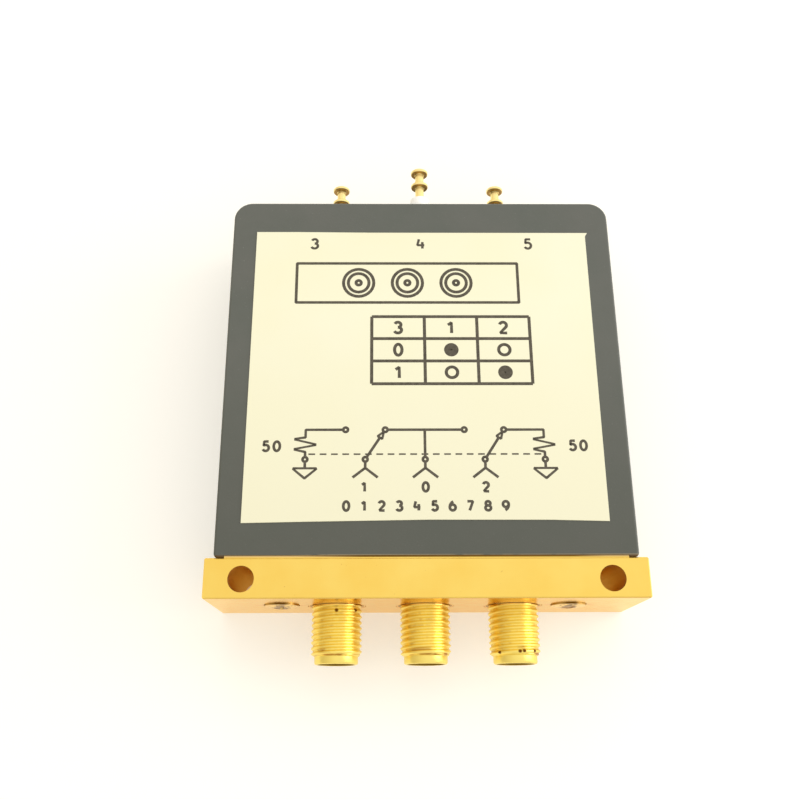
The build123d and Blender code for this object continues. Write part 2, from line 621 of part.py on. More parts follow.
def save(node, *solids):
    """Writes the solids of one node to its own STEP file."""
    shape = solids[0] if len(solids) == 1 else Compound(children=list(solids))
    shape.label = node
    export_step(shape, os.path.join("parts", node + ".step"))


os.makedirs("parts", exist_ok=True)

# Outside
save("front_block", front_block())
save("cover_can", cover_can())
save("label", label())
front_screw = countersunk_screw(
    FRONT_SCREW_HEAD, FRONT_SCREW_SHANK, FRONT_SCREW_LENGTH, FRONT_SCREW_DOME
)
save("front_screws", *[place * front_screw for place in front_screw_places()])
cover_screw = countersunk_screw(COVER_SCREW_HEAD, COVER_SCREW_SHANK, COVER_SCREW_LENGTH)
save("cover_screws", *[place * cover_screw for place in cover_screw_places()])
for port, port_x in PORT_X.items():
    save(port + "_shell", jack_shell(port_x))
    save(port + "_bead", jack_bead(port_x))
    save(port + "_contact", jack_contact(port_x))
SLEEVES = {"control": "control_insulator", "supply": "supply_insulator", "ground": "ground_bushing"}
for terminal, (terminal_x, terminal_z) in TERMINALS.items():
    save(terminal + "_terminal", turret_terminal(terminal_x, terminal_z))
    save(SLEEVES[terminal], terminal_sleeve(terminal_x, terminal_z))
    save(terminal + "_lead", terminal_lead(terminal_x, terminal_z))

# Chassis and cavity
save("chassis", chassis())
save("rf_lid", rf_lid())
save("rf_absorber", rf_absorber())
lid_screw = countersunk_screw(LID_SCREW_HEAD, LID_SCREW_SHANK, LID_SCREW_LENGTH)
save("lid_screws", *[Pos(x, y, CHASSIS_TOP_Z) * lid_screw for x, y in lid_screw_spots()])
save("rf_board", rf_board())
save("rf_traces", *rf_traces())
for number, arm in (("1", -1), ("2", 1)):
    arm_x = arm * CHIP_SPREAD / 2
    save("switch_chip_" + number, moulded_part(arm_x, CHIP_Y, (CHIP_SIZE, CHIP_SIZE, CHIP_HEIGHT)))
    resistor = (TERMINATION_WIDTH, TERMINATION_LENGTH, TERMINATION_HEIGHT)
    save("termination_" + number, part_on_board(arm_x, TERMINATION_Y, resistor))
dc_block = (DC_BLOCK_WIDTH, DC_BLOCK_LENGTH, DC_BLOCK_WIDTH)
dc_block_y = CAVITY_FRONT_Y + DC_BLOCK_FROM_WALL
save("dc_blocks", *[part_on_board(x, dc_block_y, dc_block) for x in PORT_X.values()])
bias_xs = [side * BIAS_SPREAD / 2 for side in (-1, 1)]
bias_pin_ends = (CAVITY_BACK_Y - BIAS_PIN_OVERHANG, BAY_FRONT_Y + BIAS_PIN_OVERHANG)
save("bias_pins", *[rod_y(BIAS_PIN_RADIUS, x, BIAS_PIN_Z, *bias_pin_ends) for x in bias_xs])
bias_beads = []
for x in bias_xs:
    bead = rod_y(BIAS_BEAD_RADIUS, x, BIAS_PIN_Z, CAVITY_BACK_Y, BAY_FRONT_Y)
    bias_beads.append(bead - rod_y(BIAS_PIN_RADIUS, x, BIAS_PIN_Z, CAVITY_BACK_Y, BAY_FRONT_Y))
save("bias_beads", *bias_beads)

# Driver board
save("driver_board", driver_board())
save("board_screws", *[board_screw(x, y) for x, y in boss_spots()])
save("driver_ic", legged_chip(DRIVER_IC_AT, DRIVER_IC_BODY, IC_LEGS_PER_SIDE))
save("inverter_ic", legged_chip(INVERTER_AT, INVERTER_BODY, IC_LEGS_PER_SIDE))
save("regulator", legged_chip(REGULATOR_AT, REGULATOR_BODY, REGULATOR_LEGS, one_sided=True))
for node, (x, y), size in (
    ("protection_diode", DIODE_AT, DIODE_BODY),
    ("supply_capacitor", SUPPLY_CAPACITOR_AT, SUPPLY_CAPACITOR_BODY),
    ("bias_capacitor", BIAS_CAPACITOR_AT, BIAS_CAPACITOR_BODY),
):
    save(node, moulded_part(x, DRIVER_BOARD_MIDDLE_Y + y, size))
save("chip_capacitors", *small_parts(CHIP_CAPACITORS_AT))
save("chip_resistors", *small_parts(CHIP_RESISTORS_AT))
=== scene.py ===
import math
import bmesh
import bpy
from mathutils import Matrix, Vector


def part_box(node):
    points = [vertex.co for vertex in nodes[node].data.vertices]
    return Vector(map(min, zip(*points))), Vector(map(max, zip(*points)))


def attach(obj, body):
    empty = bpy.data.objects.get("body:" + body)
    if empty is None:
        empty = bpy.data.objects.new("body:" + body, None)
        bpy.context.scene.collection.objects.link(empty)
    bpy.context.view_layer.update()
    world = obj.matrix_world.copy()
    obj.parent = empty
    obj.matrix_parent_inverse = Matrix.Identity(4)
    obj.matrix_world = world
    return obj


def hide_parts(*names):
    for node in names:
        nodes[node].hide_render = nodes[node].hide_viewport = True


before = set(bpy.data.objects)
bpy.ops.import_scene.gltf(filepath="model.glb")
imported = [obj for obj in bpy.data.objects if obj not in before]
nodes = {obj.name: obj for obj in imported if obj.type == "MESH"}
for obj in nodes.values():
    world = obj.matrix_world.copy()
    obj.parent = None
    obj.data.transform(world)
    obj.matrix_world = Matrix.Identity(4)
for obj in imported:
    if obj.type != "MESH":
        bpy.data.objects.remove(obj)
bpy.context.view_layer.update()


# Chassis and cavity lid: the housing that everything is screwed to, milled from aluminium and
# chemically plated. Its cavity holds the radio-frequency board and its bay holds the driver.
MM = 0.001


def sockets(made):
    """A material's shader sockets."""
    return made.node_tree.nodes["Principled BSDF"].inputs


def surface(name, **constants):
    """A new material; what is the same all over it is set on the shader's own sockets."""
    made = bpy.data.materials.new(name)
    made.use_nodes = True
    for label, value in constants.items():
        sockets(made)[label.replace("_", " ")].default_value = value
    return made


def wire(made, kind, inputs, **settings):
    """Adds a node; each input is a plain value or another node's output."""
    tree = made.node_tree if isinstance(made, bpy.types.Material) else made
    node = tree.nodes.new(kind)
    for key, value in settings.items():
        setattr(node, key, value)
    for key, value in inputs.items():
        if isinstance(value, bpy.types.NodeSocket):
            tree.links.new(value, node.inputs[key])
        else:
            node.inputs[key].default_value = value
    return next((output for output in node.outputs if output.enabled), None)


def calc(made, operation, *values):
    """One step of arithmetic on values or node outputs."""
    return wire(made, "ShaderNodeMath", dict(enumerate(values)), operation=operation)


def feed(made, label, value):
    """Sends a pattern to one of a material's shader sockets."""
    made.node_tree.links.new(value, sockets(made)[label])


def own_place(made):
    """Where a point of the surface lies on the object."""
    return wire(made, "ShaderNodeTexCoord", {}).node.outputs["Object"]


def grain(made, size, stretch=(1, 1, 1), detail=3.0, shift=0.0):
    """Noise over a surface, with features about as wide as the size in millimetres."""
    scale = [1 / (MM * size * axis) for axis in stretch]
    place = wire(made, "ShaderNodeMapping", {
        "Vector": own_place(made), "Location": [shift] * 3, "Scale": scale,
    })
    return wire(made, "ShaderNodeTexNoise", {"Vector": place, "Scale": 1.0, "Detail": detail})


def spread(made, value, low, high, start=0.3, end=0.7):
    """Maps a value onto the range from low to high, and no further."""
    ends = {"From Min": start, "From Max": end, "To Min": low, "To Max": high}
    return wire(made, "ShaderNodeMapRange", {"Value": value, **ends}, clamp=True)


def tint(red, green, blue):
    """A paint chart's red, green and blue, 0 to 255, as the shader's linear colour."""
    parts = [part / 255 for part in (red, green, blue)]
    return (*[part / 12.92 if part <= 0.04045 else ((part + 0.055) / 1.055) ** 2.4 for part in parts], 1.0)


def blend_tints(made, factor, first, second):
    """Two colours, or outputs, mixed by a pattern."""
    return wire(made, "ShaderNodeMix", {0: factor, 6: first, 7: second}, data_type="RGBA")


def relief(made, height, depth, strength=1.0):
    """Bumps of a depth in millimetres; a second call adds to the first."""
    normal = sockets(made)["Normal"]
    before = {"Normal": normal.links[0].from_socket} if normal.is_linked else {}
    bump = {"Height": height, "Distance": depth * MM, "Strength": strength, **before}
    feed(made, "Normal", wire(made, "ShaderNodeBump", bump))


def dress(material, *names):
    """Gives CAD nodes their finish."""
    for name in names:
        for slot in nodes[name].material_slots:
            slot.material = material


def metal(name, light, dark, roughness, lay=(1, 1, 1)):
    """A machined metal: two tones in soft patches, and fine tool marks along its lay."""
    made = surface(name, Metallic=1.0)
    feed(made, "Base Color", blend_tints(made, spread(made, grain(made, 4.0), 0, 1), light, dark))
    marks = grain(made, 0.12, lay, detail=2.0)
    feed(made, "Roughness", spread(made, marks, roughness - 0.06, roughness + 0.08))
    relief(made, marks, 0.004, 0.6)
    return made


CHASSIS_LIGHT = tint(214, 211, 204)
CHASSIS_DARK = tint(186, 184, 178)
chassis_plating = metal("chassis plating", CHASSIS_LIGHT, CHASSIS_DARK, 0.34, lay=(12, 1, 1))
dress(chassis_plating, "chassis", "rf_lid")


# Absorber: a pad of loaded silicone rubber, stuck under the lid to damp the cavity.
# It is cut from matt black sheet.
ABSORBER_BLACK = tint(30, 30, 32)
ABSORBER_GREY = tint(52, 52, 54)
rubber = surface("absorber rubber", Roughness=0.82)
loading = grain(rubber, 0.25)
feed(rubber, "Base Color", blend_tints(rubber, loading, ABSORBER_BLACK, ABSORBER_GREY))
relief(rubber, loading, 0.03)
dress(rubber, "rf_absorber")


# Microstrip board, its lines and the two chips that do the switching, soldered into the cavity.
# The board is pale microwave laminate; the lines are gold over copper.
LAMINATE_LIGHT = tint(234, 229, 212)
LAMINATE_DARK = tint(214, 206, 184)
laminate = surface("microwave laminate", Roughness=0.55)
glass_cloth = calc(
    laminate, "MULTIPLY", grain(laminate, 0.15, (8, 1, 1)), grain(laminate, 0.15, (1, 8, 1))
)
cloth_tone = spread(laminate, glass_cloth, 0, 1, 0.15, 0.4)
feed(laminate, "Base Color", blend_tints(laminate, cloth_tone, LAMINATE_LIGHT, LAMINATE_DARK))
relief(laminate, glass_cloth, 0.01)
dress(laminate, "rf_board")

CONTACT_LEMON = tint(250, 214, 126)
CONTACT_ORANGE = tint(238, 190, 96)
contact_gold = metal("contact gold", CONTACT_LEMON, CONTACT_ORANGE, 0.2)
dress(contact_gold, "rf_traces", "port_1_contact", "common_contact", "port_2_contact", "bias_pins")

MOULDING_BLACK = tint(38, 38, 40)
MOULDING_GREY = tint(56, 55, 55)
moulding = surface("chip moulding", Roughness=0.55)
filler = grain(moulding, 0.08)
feed(moulding, "Base Color", blend_tints(moulding, filler, MOULDING_BLACK, MOULDING_GREY))
relief(moulding, filler, 0.008)
dress(moulding, "switch_chip_1", "switch_chip_2", "driver_ic", "inverter_ic", "regulator")
dress(moulding, "protection_diode")


# Small parts: the ceramic resistors that load the port that is off, the blocking capacitors, the
# chips beside the driver and its moulded capacitors. All of them are soldered down.
def ceramic(name, light, dark, roughness):
    """A fired body with a fine speckle."""
    made = surface(name, Roughness=roughness)
    speckle = grain(made, 0.1)
    feed(made, "Base Color", blend_tints(made, spread(made, speckle, 0, 1), light, dark))
    relief(made, speckle, 0.006)
    return made


capacitor_ceramic = ceramic("capacitor ceramic", tint(206, 184, 150), tint(180, 154, 118), 0.5)
resistor_ceramic = ceramic("resistor film", tint(44, 46, 52), tint(66, 66, 70), 0.35)
capacitor_moulding = ceramic("capacitor moulding", tint(222, 176, 84), tint(204, 152, 62), 0.42)
dress(capacitor_ceramic, "dc_blocks", "chip_capacitors")
dress(resistor_ceramic, "termination_1", "termination_2", "chip_resistors")
dress(capacitor_moulding, "supply_capacitor", "bias_capacitor")


# Glass beads: fused seals that carry the two bias pins through the wall behind the cavity.
# The glass is grey-green and holds fine bubbles.
BEAD_GREEN = tint(150, 168, 160)
BEAD_GREY = tint(176, 186, 180)
glass = surface("seal glass", Roughness=0.08, Transmission_Weight=0.85, IOR=1.5)
bubbles = grain(glass, 0.2)
feed(glass, "Base Color", blend_tints(glass, bubbles, BEAD_GREEN, BEAD_GREY))
relief(glass, bubbles, 0.01)
dress(glass, "bias_beads")


# Driver board: green solder mask over glass laminate, on four bosses of the chassis. The mask
# pools a little, so that its green varies. Leads of tinned wire run to it from the terminals.
MASK_GREEN = tint(38, 96, 62)
MASK_DARK = tint(24, 74, 46)
mask = surface("solder mask", Roughness=0.3)
pooling = grain(mask, 1.2)
mask_tone = spread(mask, pooling, 0, 1)
feed(mask, "Base Color", blend_tints(mask, mask_tone, MASK_GREEN, MASK_DARK))
relief(mask, pooling, 0.02)
dress(mask, "driver_board")

tinned_wire = metal("tinned wire", tint(216, 216, 212), tint(190, 190, 186), 0.24, lay=(1, 12, 1))
dress(tinned_wire, "control_lead", "supply_lead", "ground_lead")


# Beads and insulators: fluoropolymer turned from rod, white, waxy and slightly see-through. Each
# jack has a bead round its contact, and the control and supply terminals stand in sleeves.
PTFE_WHITE = tint(254, 253, 248)
PTFE_CREAM = tint(250, 248, 240)
SLEEVE_PAINTED_GLOW = 0.16


def parts_of(made, spot):
    """A place's X, Y and Z."""
    return wire(made, "ShaderNodeSeparateXYZ", {"Vector": spot}).node.outputs


cover_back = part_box("cover_can")[1].y
ptfe = surface("fluoropolymer", Roughness=0.42, Emission_Color=PTFE_WHITE)
waxiness = grain(ptfe, 0.6)
feed(ptfe, "Base Color", blend_tints(ptfe, spread(ptfe, waxiness, 0, 1), PTFE_WHITE, PTFE_CREAM))
relief(ptfe, grain(ptfe, 0.1), 0.006)
# The sleeves' parts behind the cover have a painted glow, which lightens them in the cover's shade.
along = parts_of(ptfe, own_place(ptfe))["Y"]
glow = spread(ptfe, along, 0, SLEEVE_PAINTED_GLOW, cover_back - 0.55 * MM, cover_back + 0.45 * MM)
feed(ptfe, "Emission Strength", glow)
dress(ptfe, "port_1_bead", "common_bead", "port_2_bead")


# Jacks: brass shells turned and threaded 36 to the inch, then gold plated. The flange at the
# back is trapped in the block; the plain nose takes the plug, whose nut runs on the thread.
THREAD_PITCH = 25.4 / 36 * MM
THREAD_DEPTH = 0.22 * MM
SHOULDER = 0.05 * MM
THREAD_LENGTH = 6.25 * MM
NOSE_LENGTH = 0.95 * MM
NOSE_SLOPE = 1.6
FOOT_SLOPE = 2.0
HALF_ROOT = 1 / 8  # of a turn
HALF_GROOVE = 0.4  # of a turn
CREST_RADIUS = 3.175 * MM
NOSE_RADIUS = 2.73 * MM
SHANK_RADIUS = 3.65 * MM
FLANGE_RADIUS = 4.3 * MM
FLANGE_THICKNESS = 1.5 * MM
SOCKET_RADIUS = 2.3 * MM
SOCKET_DEPTH = 1.95 * MM
BORE_RADIUS = 2.05 * MM
SOFT_EDGE = 0.12 * MM
NOSE_EDGE = 0.2 * MM
ROWS_PER_TURN = 8
AROUND = 96
SEAM = 0.0005 * MM
SHARP = math.radians(32)


def product(made, first, *others):
    """Patterns or values multiplied: it holds only where all of them do."""
    for other in others:
        first = calc(made, "MULTIPLY", first, other)
    return first


def gap_to(made, value, middle):
    """How far a value is from a middle, on either side of it."""
    return calc(made, "ABSOLUTE", calc(made, "SUBTRACT", value, middle))


def distance(made, across, along):
    """How far a point is from an axis that stands across both given directions."""
    flat = wire(made, "ShaderNodeCombineXYZ", {"X": across, "Y": along})
    length = wire(made, "ShaderNodeVectorMath", {"Vector": flat}, operation="LENGTH")
    return length.node.outputs["Value"]


def new_tree(name, **kinds):
    """A geometry tree with named inputs, and the sockets that give them."""
    tree = bpy.data.node_groups.new(name, "GeometryNodeTree")
    tree.interface.new_socket("Geometry", in_out="INPUT", socket_type="NodeSocketGeometry")
    for label, kind in kinds.items():
        tree.interface.new_socket(label.replace("_", " "), in_out="INPUT", socket_type="NodeSocket" + kind)
    tree.interface.new_socket("Geometry", in_out="OUTPUT", socket_type="NodeSocketGeometry")
    return tree, tree.nodes.new("NodeGroupInput").outputs


def close_tree(tree, geometry, material):
    """Ends a tree with real meshes that carry their material."""
    whole = wire(tree, "GeometryNodeRealizeInstances", {"Geometry": geometry})
    finished = wire(tree, "GeometryNodeSetMaterial", {"Geometry": whole, "Material": material})
    wire(tree, "NodeGroupOutput", {"Geometry": finished})


def turned_point(tree, radius, angle, height):
    """A place given by its radius, its angle and its height."""
    x = product(tree, radius, calc(tree, "COSINE", angle))
    y = product(tree, radius, calc(tree, "SINE", angle))
    return wire(tree, "ShaderNodeCombineXYZ", {"X": x, "Y": y, "Z": height})


def rows_and_columns(tree, rows, segments):
    """A grid's flat sheet, each vertex's row, and its share of a full turn."""
    columns = calc(tree, "ADD", segments, 1)
    sheet = wire(tree, "GeometryNodeMeshGrid", {"Vertices X": columns, "Vertices Y": rows})
    index = wire(tree, "GeometryNodeInputIndex", {})
    row = calc(tree, "MODULO", index, rows)
    column = calc(tree, "FLOOR", calc(tree, "DIVIDE", index, rows))
    return sheet, row, calc(tree, "DIVIDE", column, segments)


def lathe_tree():
    """Turns a profile, drawn as points at (radius, 0, height), round the Z axis."""
    tree, given = new_tree("lathe", Segments="Int", Material="Material")
    rows = wire(tree, "GeometryNodeAttributeDomainSize", {"Geometry": given["Geometry"]})
    sheet, row, turn = rows_and_columns(tree, rows, given["Segments"])
    here = wire(tree, "GeometryNodeInputPosition", {})
    sample = {"Geometry": given["Geometry"], "Value": here, "Index": row}
    parts = parts_of(tree, wire(tree, "GeometryNodeSampleIndex", sample, data_type="FLOAT_VECTOR"))
    place = turned_point(tree, parts["X"], product(tree, turn, math.tau), parts["Z"])
    rolled = wire(tree, "GeometryNodeSetPosition", {"Geometry": sheet, "Position": place})
    joined = wire(tree, "GeometryNodeMergeByDistance", {"Geometry": rolled, "Distance": SEAM})
    close_tree(tree, joined, given["Material"])
    return tree


def thread_tree():
    """Adds a right-hand screw thread to a turned body, from height 0 up to its length."""
    tree, given = new_tree(
        "thread", Crest="Float", Root="Float", Nose="Float", Length="Float", Shoulder="Float",
        Pitch="Float", Nose_Slope="Float", Foot_Slope="Float", Turns="Int", Rows_Per_Turn="Int",
        Segments="Int", Material="Material",
    )
    rows = calc(tree, "ADD", product(tree, given["Turns"], given["Rows Per Turn"]), 1)
    sheet, row, turn = rows_and_columns(tree, rows, given["Segments"])
    along = calc(tree, "DIVIDE", row, given["Rows Per Turn"])
    turns = calc(tree, "SUBTRACT", calc(tree, "ADD", along, turn), 1)
    climb = product(tree, turns, given["Pitch"])
    height = calc(tree, "MAXIMUM", calc(tree, "MINIMUM", climb, given["Length"]), 0)
    from_root = gap_to(tree, calc(tree, "FRACT", along), 0.5)
    groove = spread(tree, from_root, 1, 0, HALF_ROOT, HALF_GROOVE)
    depth = calc(tree, "SUBTRACT", given["Crest"], given["Root"])
    full = calc(tree, "SUBTRACT", given["Crest"], product(tree, groove, depth))
    before_nose = calc(tree, "SUBTRACT", given["Length"], height)
    at_nose = calc(tree, "ADD", given["Nose"], product(tree, before_nose, given["Nose Slope"]))
    past_shoulder = calc(tree, "MAXIMUM", calc(tree, "SUBTRACT", height, given["Shoulder"]), 0)
    at_foot = calc(tree, "SUBTRACT", given["Crest"], product(tree, past_shoulder, given["Foot Slope"]))
    radius = calc(tree, "MINIMUM", calc(tree, "MAXIMUM", full, at_foot), at_nose)
    place = turned_point(tree, radius, product(tree, turn, math.tau), height)
    cut = wire(tree, "GeometryNodeSetPosition", {"Geometry": sheet, "Position": place})
    marked = wire(tree, "GeometryNodeStoreNamedAttribute", {
        "Geometry": cut, "Name": "groove", "Value": groove,
    })
    both = wire(tree, "GeometryNodeJoinGeometry", {"Geometry": marked})
    tree.links.new(given["Geometry"], both.node.inputs["Geometry"])
    joined = wire(tree, "GeometryNodeMergeByDistance", {"Geometry": both, "Distance": SEAM})
    close_tree(tree, joined, given["Material"])
    return tree


def grow(name, tree, start, inputs):
    """Runs a tree on an object's mesh and keeps what it makes as a plain mesh."""
    modifier = start.modifiers.new("build", "NODES")
    modifier.node_group = tree
    for item in tree.interface.items_tree:
        if item.in_out == "INPUT" and item.name in inputs:
            modifier[item.identifier] = inputs[item.name]
    made = bpy.data.meshes.new_from_object(start.evaluated_get(bpy.context.evaluated_depsgraph_get()))
    start.modifiers.clear()
    start.data = made
    start.name = name
    made.name = name
    made.shade_smooth()
    made.set_sharp_from_angle(angle=SHARP)
    return start


def placed(name, data):
    """A new object in the scene."""
    piece = bpy.data.objects.new(name, data)
    bpy.context.scene.collection.objects.link(piece)
    return piece


def drawn(name, points, lines=(), faces=()):
    """An object that holds points, and the lines or faces between them."""
    mesh = bpy.data.meshes.new(name)
    mesh.from_pydata(points, lines, faces)
    return placed(name, mesh)


def turned(name, profile, material, segments):
    """A piece turned round Z from (radius, height) pairs, which go round the metal anticlockwise."""
    outline = drawn(name, [(radius, 0, height) for radius, height in profile])
    return grow(name, LATHE, outline, {"Segments": segments, "Material": material})


def settle(piece, place, slot, *replaced):
    """Puts a finished piece where it belongs, in its mesh, and tells the frame about it."""
    piece.data.transform(place)
    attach(piece, "root")
    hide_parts(*replaced)


GOLD_LEMON = tint(253, 218, 112)
GOLD_ORANGE = tint(251, 211, 101)
GOLD_BROWN = tint(176, 104, 34)
# The plate is one gold: the face's, the jacks' and the posts' tones are painted for how the light falls on
# each.
JACK_LIGHTING_TONE = tint(255, 229, 122)
POST_LIGHTING_TONE = tint(255, 232, 158)
FACE_LIGHTING_TONE = tint(252, 209, 112)
FACE_EDGE_TONE = tint(255, 245, 220)
DISC_UNDERSIDE_SHADE = tint(196, 156, 90)
SOCKET_SHADE = tint(168, 136, 58)
WHITE = (1.0, 1.0, 1.0, 1.0)
DISC_THICKNESS = 0.5 * MM
DISC_PITCH = 2.2 * MM
FRONT_HEAD = 2.2 * MM

block_low, block_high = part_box("front_block")
face_y = block_low.y
nose_y = face_y - THREAD_LENGTH
ledge_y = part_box("port_1_shell")[1].y
post_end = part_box("supply_terminal")[1].y
jack_low, jack_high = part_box("common_shell")
jack_z = (jack_low.z + jack_high.z) / 2
jack_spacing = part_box("port_2_shell")[1].x - jack_high.x
screw_low, screw_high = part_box("front_screws")
front_x = screw_high.x - FRONT_HEAD
front_z = (screw_low.z + screw_high.z) / 2

gold = surface("gold plating", Metallic=1.0)
spot = own_place(gold)
parts = parts_of(gold, spot)
sideways = calc(gold, "ABSOLUTE", parts["X"])
on_face = spread(gold, parts["Y"], 1, 0, face_y + 0.02 * MM, face_y + 0.1 * MM)
on_jack = spread(gold, parts["Y"], 1, 0, face_y - 0.3 * MM, face_y - 0.05 * MM)
from_jack_x = calc(gold, "MINIMUM", sideways, gap_to(gold, sideways, jack_spacing))
from_jack_z = calc(gold, "SUBTRACT", parts["Z"], jack_z)
from_jack = distance(gold, from_jack_x, from_jack_z)


def clean_tone(made):
    """The clean plate: two golds in soft patches, painted tones on face, jacks and posts for how the light
    falls on each, and painted shade under the posts' discs.
    """
    patches = spread(made, grain(made, 5.0), 0, 1)
    tone = blend_tints(made, patches, GOLD_LEMON, GOLD_ORANGE)
    tone = blend_tints(made, on_face, tone, FACE_LIGHTING_TONE)
    tone = blend_tints(made, on_jack, tone, JACK_LIGHTING_TONE)
    on_post = spread(made, parts["Y"], 0, 1, cover_back, cover_back + 0.2 * MM)
    tone = blend_tints(made, on_post, tone, POST_LIGHTING_TONE)
    # Painted shade on the undersides of the posts' discs.
    for disc_end in (post_end, post_end - DISC_PITCH):
        off_side = gap_to(made, parts["Y"], disc_end - DISC_THICKNESS)
        inner_side = spread(made, off_side, 1, 0, 0.03 * MM, 0.06 * MM)
        tone = blend_tints(made, inner_side, tone, DISC_UNDERSIDE_SHADE)
    return tone


def thread_dirt(made):
    """Brown: patches in the thread's roots, and dirt in specks and in smudges on the last turns."""
    depth_in_thread = wire(made, "ShaderNodeAttribute", {}, attribute_name="groove").node.outputs["Fac"]
    in_root = spread(made, depth_in_thread, 0, 0.4, 0.8, 1.0)
    root_patches = product(made, in_root, spread(made, grain(made, 1.1), 0, 1.0, 0.5, 0.75))
    specks = spread(made, grain(made, 0.35, detail=1.0, shift=7.0), 0, 0.4, 0.79, 0.83)
    last_turns = product(
        made,
        spread(made, parts["Y"], 0, 1, nose_y - 0.2 * MM, nose_y),
        spread(made, parts["Y"], 1, 0, nose_y + 0.6 * MM, nose_y + 1 * MM),
    )
    smudged = product(
        made,
        spread(made, grain(made, 0.8, (3, 1, 3), shift=11.0), 0, 0.8, 0.52, 0.62),
        spread(made, depth_in_thread, 0.1, 1, 0.4, 0.9),
    )
    dirt = calc(made, "MAXIMUM", root_patches, specks)
    return calc(made, "MAXIMUM", dirt, product(made, last_turns, smudged))


PIT_BROWN = tint(110, 66, 20)
PIT_RADIUS = 0.16 * MM
PIT_HALO = 0.3 * MM
PITS = (
    (-11.1, -27.99, 10.5), (-8.8, -27.87, 9.36),
    (8.97, -33.05, 9.67), (11.41, -32.96, 10.56), (11.95, -32.9, 10.48), (13.34, -32.89, 9.74),
)
plate_tone = clean_tone(gold)
plate_tone = blend_tints(gold, thread_dirt(gold), plate_tone, GOLD_BROWN)
for pit in PITS:
    away = wire(gold, "ShaderNodeVectorMath", {0: spot, 1: Vector(pit) * MM}, operation="DISTANCE")
    in_pit = spread(gold, away.node.outputs["Value"], 1, 0, PIT_RADIUS, PIT_HALO)
    plate_tone = blend_tints(gold, in_pit, plate_tone, PIT_BROWN)
# Painted shade inside each jack's socket and bore.
in_socket = product(
    gold,
    spread(gold, from_jack, 1, 0, SOCKET_RADIUS + 0.02 * MM, SOCKET_RADIUS + 0.08 * MM),
    on_jack,
)
plate_tone = blend_tints(gold, in_socket, plate_tone, SOCKET_SHADE)

# A painted dark ring round each jack, where it comes out of the face: the shadow of the fine gap there.
GAP_WIDTH = 0.24 * MM
gap_shadow = product(
    gold,
    spread(gold, gap_to(gold, parts["Y"], face_y), 0.8, 0, 0.05 * MM, 0.1 * MM),
    spread(gold, from_jack, 1, 0, CREST_RADIUS + GAP_WIDTH, CREST_RADIUS + 1.4 * GAP_WIDTH),
)
plate_tone = blend_tints(gold, gap_shadow, plate_tone, PIT_BROWN)

# Darker brown beside the front screws, at the height of their middles.
from_screw_x = gap_to(gold, sideways, front_x)
from_screw_z = gap_to(gold, parts["Z"], front_z)
beside_screws = product(
    gold,
    spread(gold, from_screw_x, 0.5, 0, 1.8 * MM, 3.3 * MM),
    spread(gold, from_screw_z, 1, 0, 0.3 * MM, 0.8 * MM),
    on_face,
)
plate_tone = blend_tints(gold, beside_screws, plate_tone, GOLD_BROWN)

# The ledge in front of the cover's lip, in painted shade under the lip, paler towards both ends.
LEDGE_SHADE = tint(130, 96, 40)
LEDGE_PALE_SHADE = tint(214, 180, 118)
LEDGE_LEFT = (-16 * MM, -8 * MM)
LEDGE_RIGHT = (18 * MM, 22 * MM)
on_ledge = product(
    gold,
    spread(gold, parts["Y"], 0, 1, ledge_y + 0.02 * MM, ledge_y + 0.12 * MM),
    spread(gold, parts["Y"], 1, 0, ledge_y + 0.5 * MM, ledge_y + 0.6 * MM),
)
shade_reach = product(
    gold,
    spread(gold, parts["X"], 0, 1, *LEDGE_LEFT),
    spread(gold, parts["X"], 1, 0.3, *LEDGE_RIGHT),
)
ledge_tone = blend_tints(gold, shade_reach, LEDGE_PALE_SHADE, LEDGE_SHADE)
plate_tone = blend_tints(gold, on_ledge, plate_tone, ledge_tone)

# The mounting holes' walls, which shine on one another.
HOLE_ORANGE = tint(244, 220, 150)
HOLE_EDGE_TONE = tint(255, 214, 140)
HOLE_RADIUS = 1.6 * MM
HOLE_SPREAD = 45.0 * MM
HOLE_FROM_FRONT = 2.35 * MM
HOLE_EDGE = 0.08 * MM


def from_holes(made, places):
    """How far a point is from the nearer mounting hole's axis."""
    across = calc(made, "SUBTRACT", calc(made, "ABSOLUTE", places["X"]), HOLE_SPREAD / 2)
    return distance(made, across, calc(made, "SUBTRACT", places["Y"], face_y + HOLE_FROM_FRONT))


from_hole = from_holes(gold, parts)
in_hole = product(
    gold,
    spread(gold, from_hole, 1, 0, HOLE_RADIUS + HOLE_EDGE / 2, HOLE_RADIUS + HOLE_EDGE),
    spread(gold, parts["Z"], 1, 0, block_high.z - 0.3 * MM, block_high.z - 0.1 * MM),
)
feed(gold, "Base Color", blend_tints(gold, in_hole, plate_tone, HOLE_ORANGE))

# The face is ground smoother than the rest, which keeps the mill's fine marks.
smooth = product(gold, on_face, calc(gold, "SUBTRACT", 1, on_jack))
edge_tone = blend_tints(gold, smooth, WHITE, FACE_EDGE_TONE)
in_shade = calc(gold, "MAXIMUM", in_hole, gap_shadow)
feed(gold, "Specular Tint", blend_tints(gold, in_shade, edge_tone, HOLE_EDGE_TONE))
tool_marks = grain(gold, 0.1, (14, 1, 14), detail=2.0)
milled = spread(gold, tool_marks, 0.32, 0.44)
feed(gold, "Roughness", product(gold, milled, spread(gold, smooth, 1, 0.5, 0, 1)))
relief(gold, tool_marks, 0.003, 0.6)
relief(gold, grain(gold, 1.6), 0.01, 0.5)

LATHE = lathe_tree()
THREAD = thread_tree()
ROOT_RADIUS = CREST_RADIUS - THREAD_DEPTH

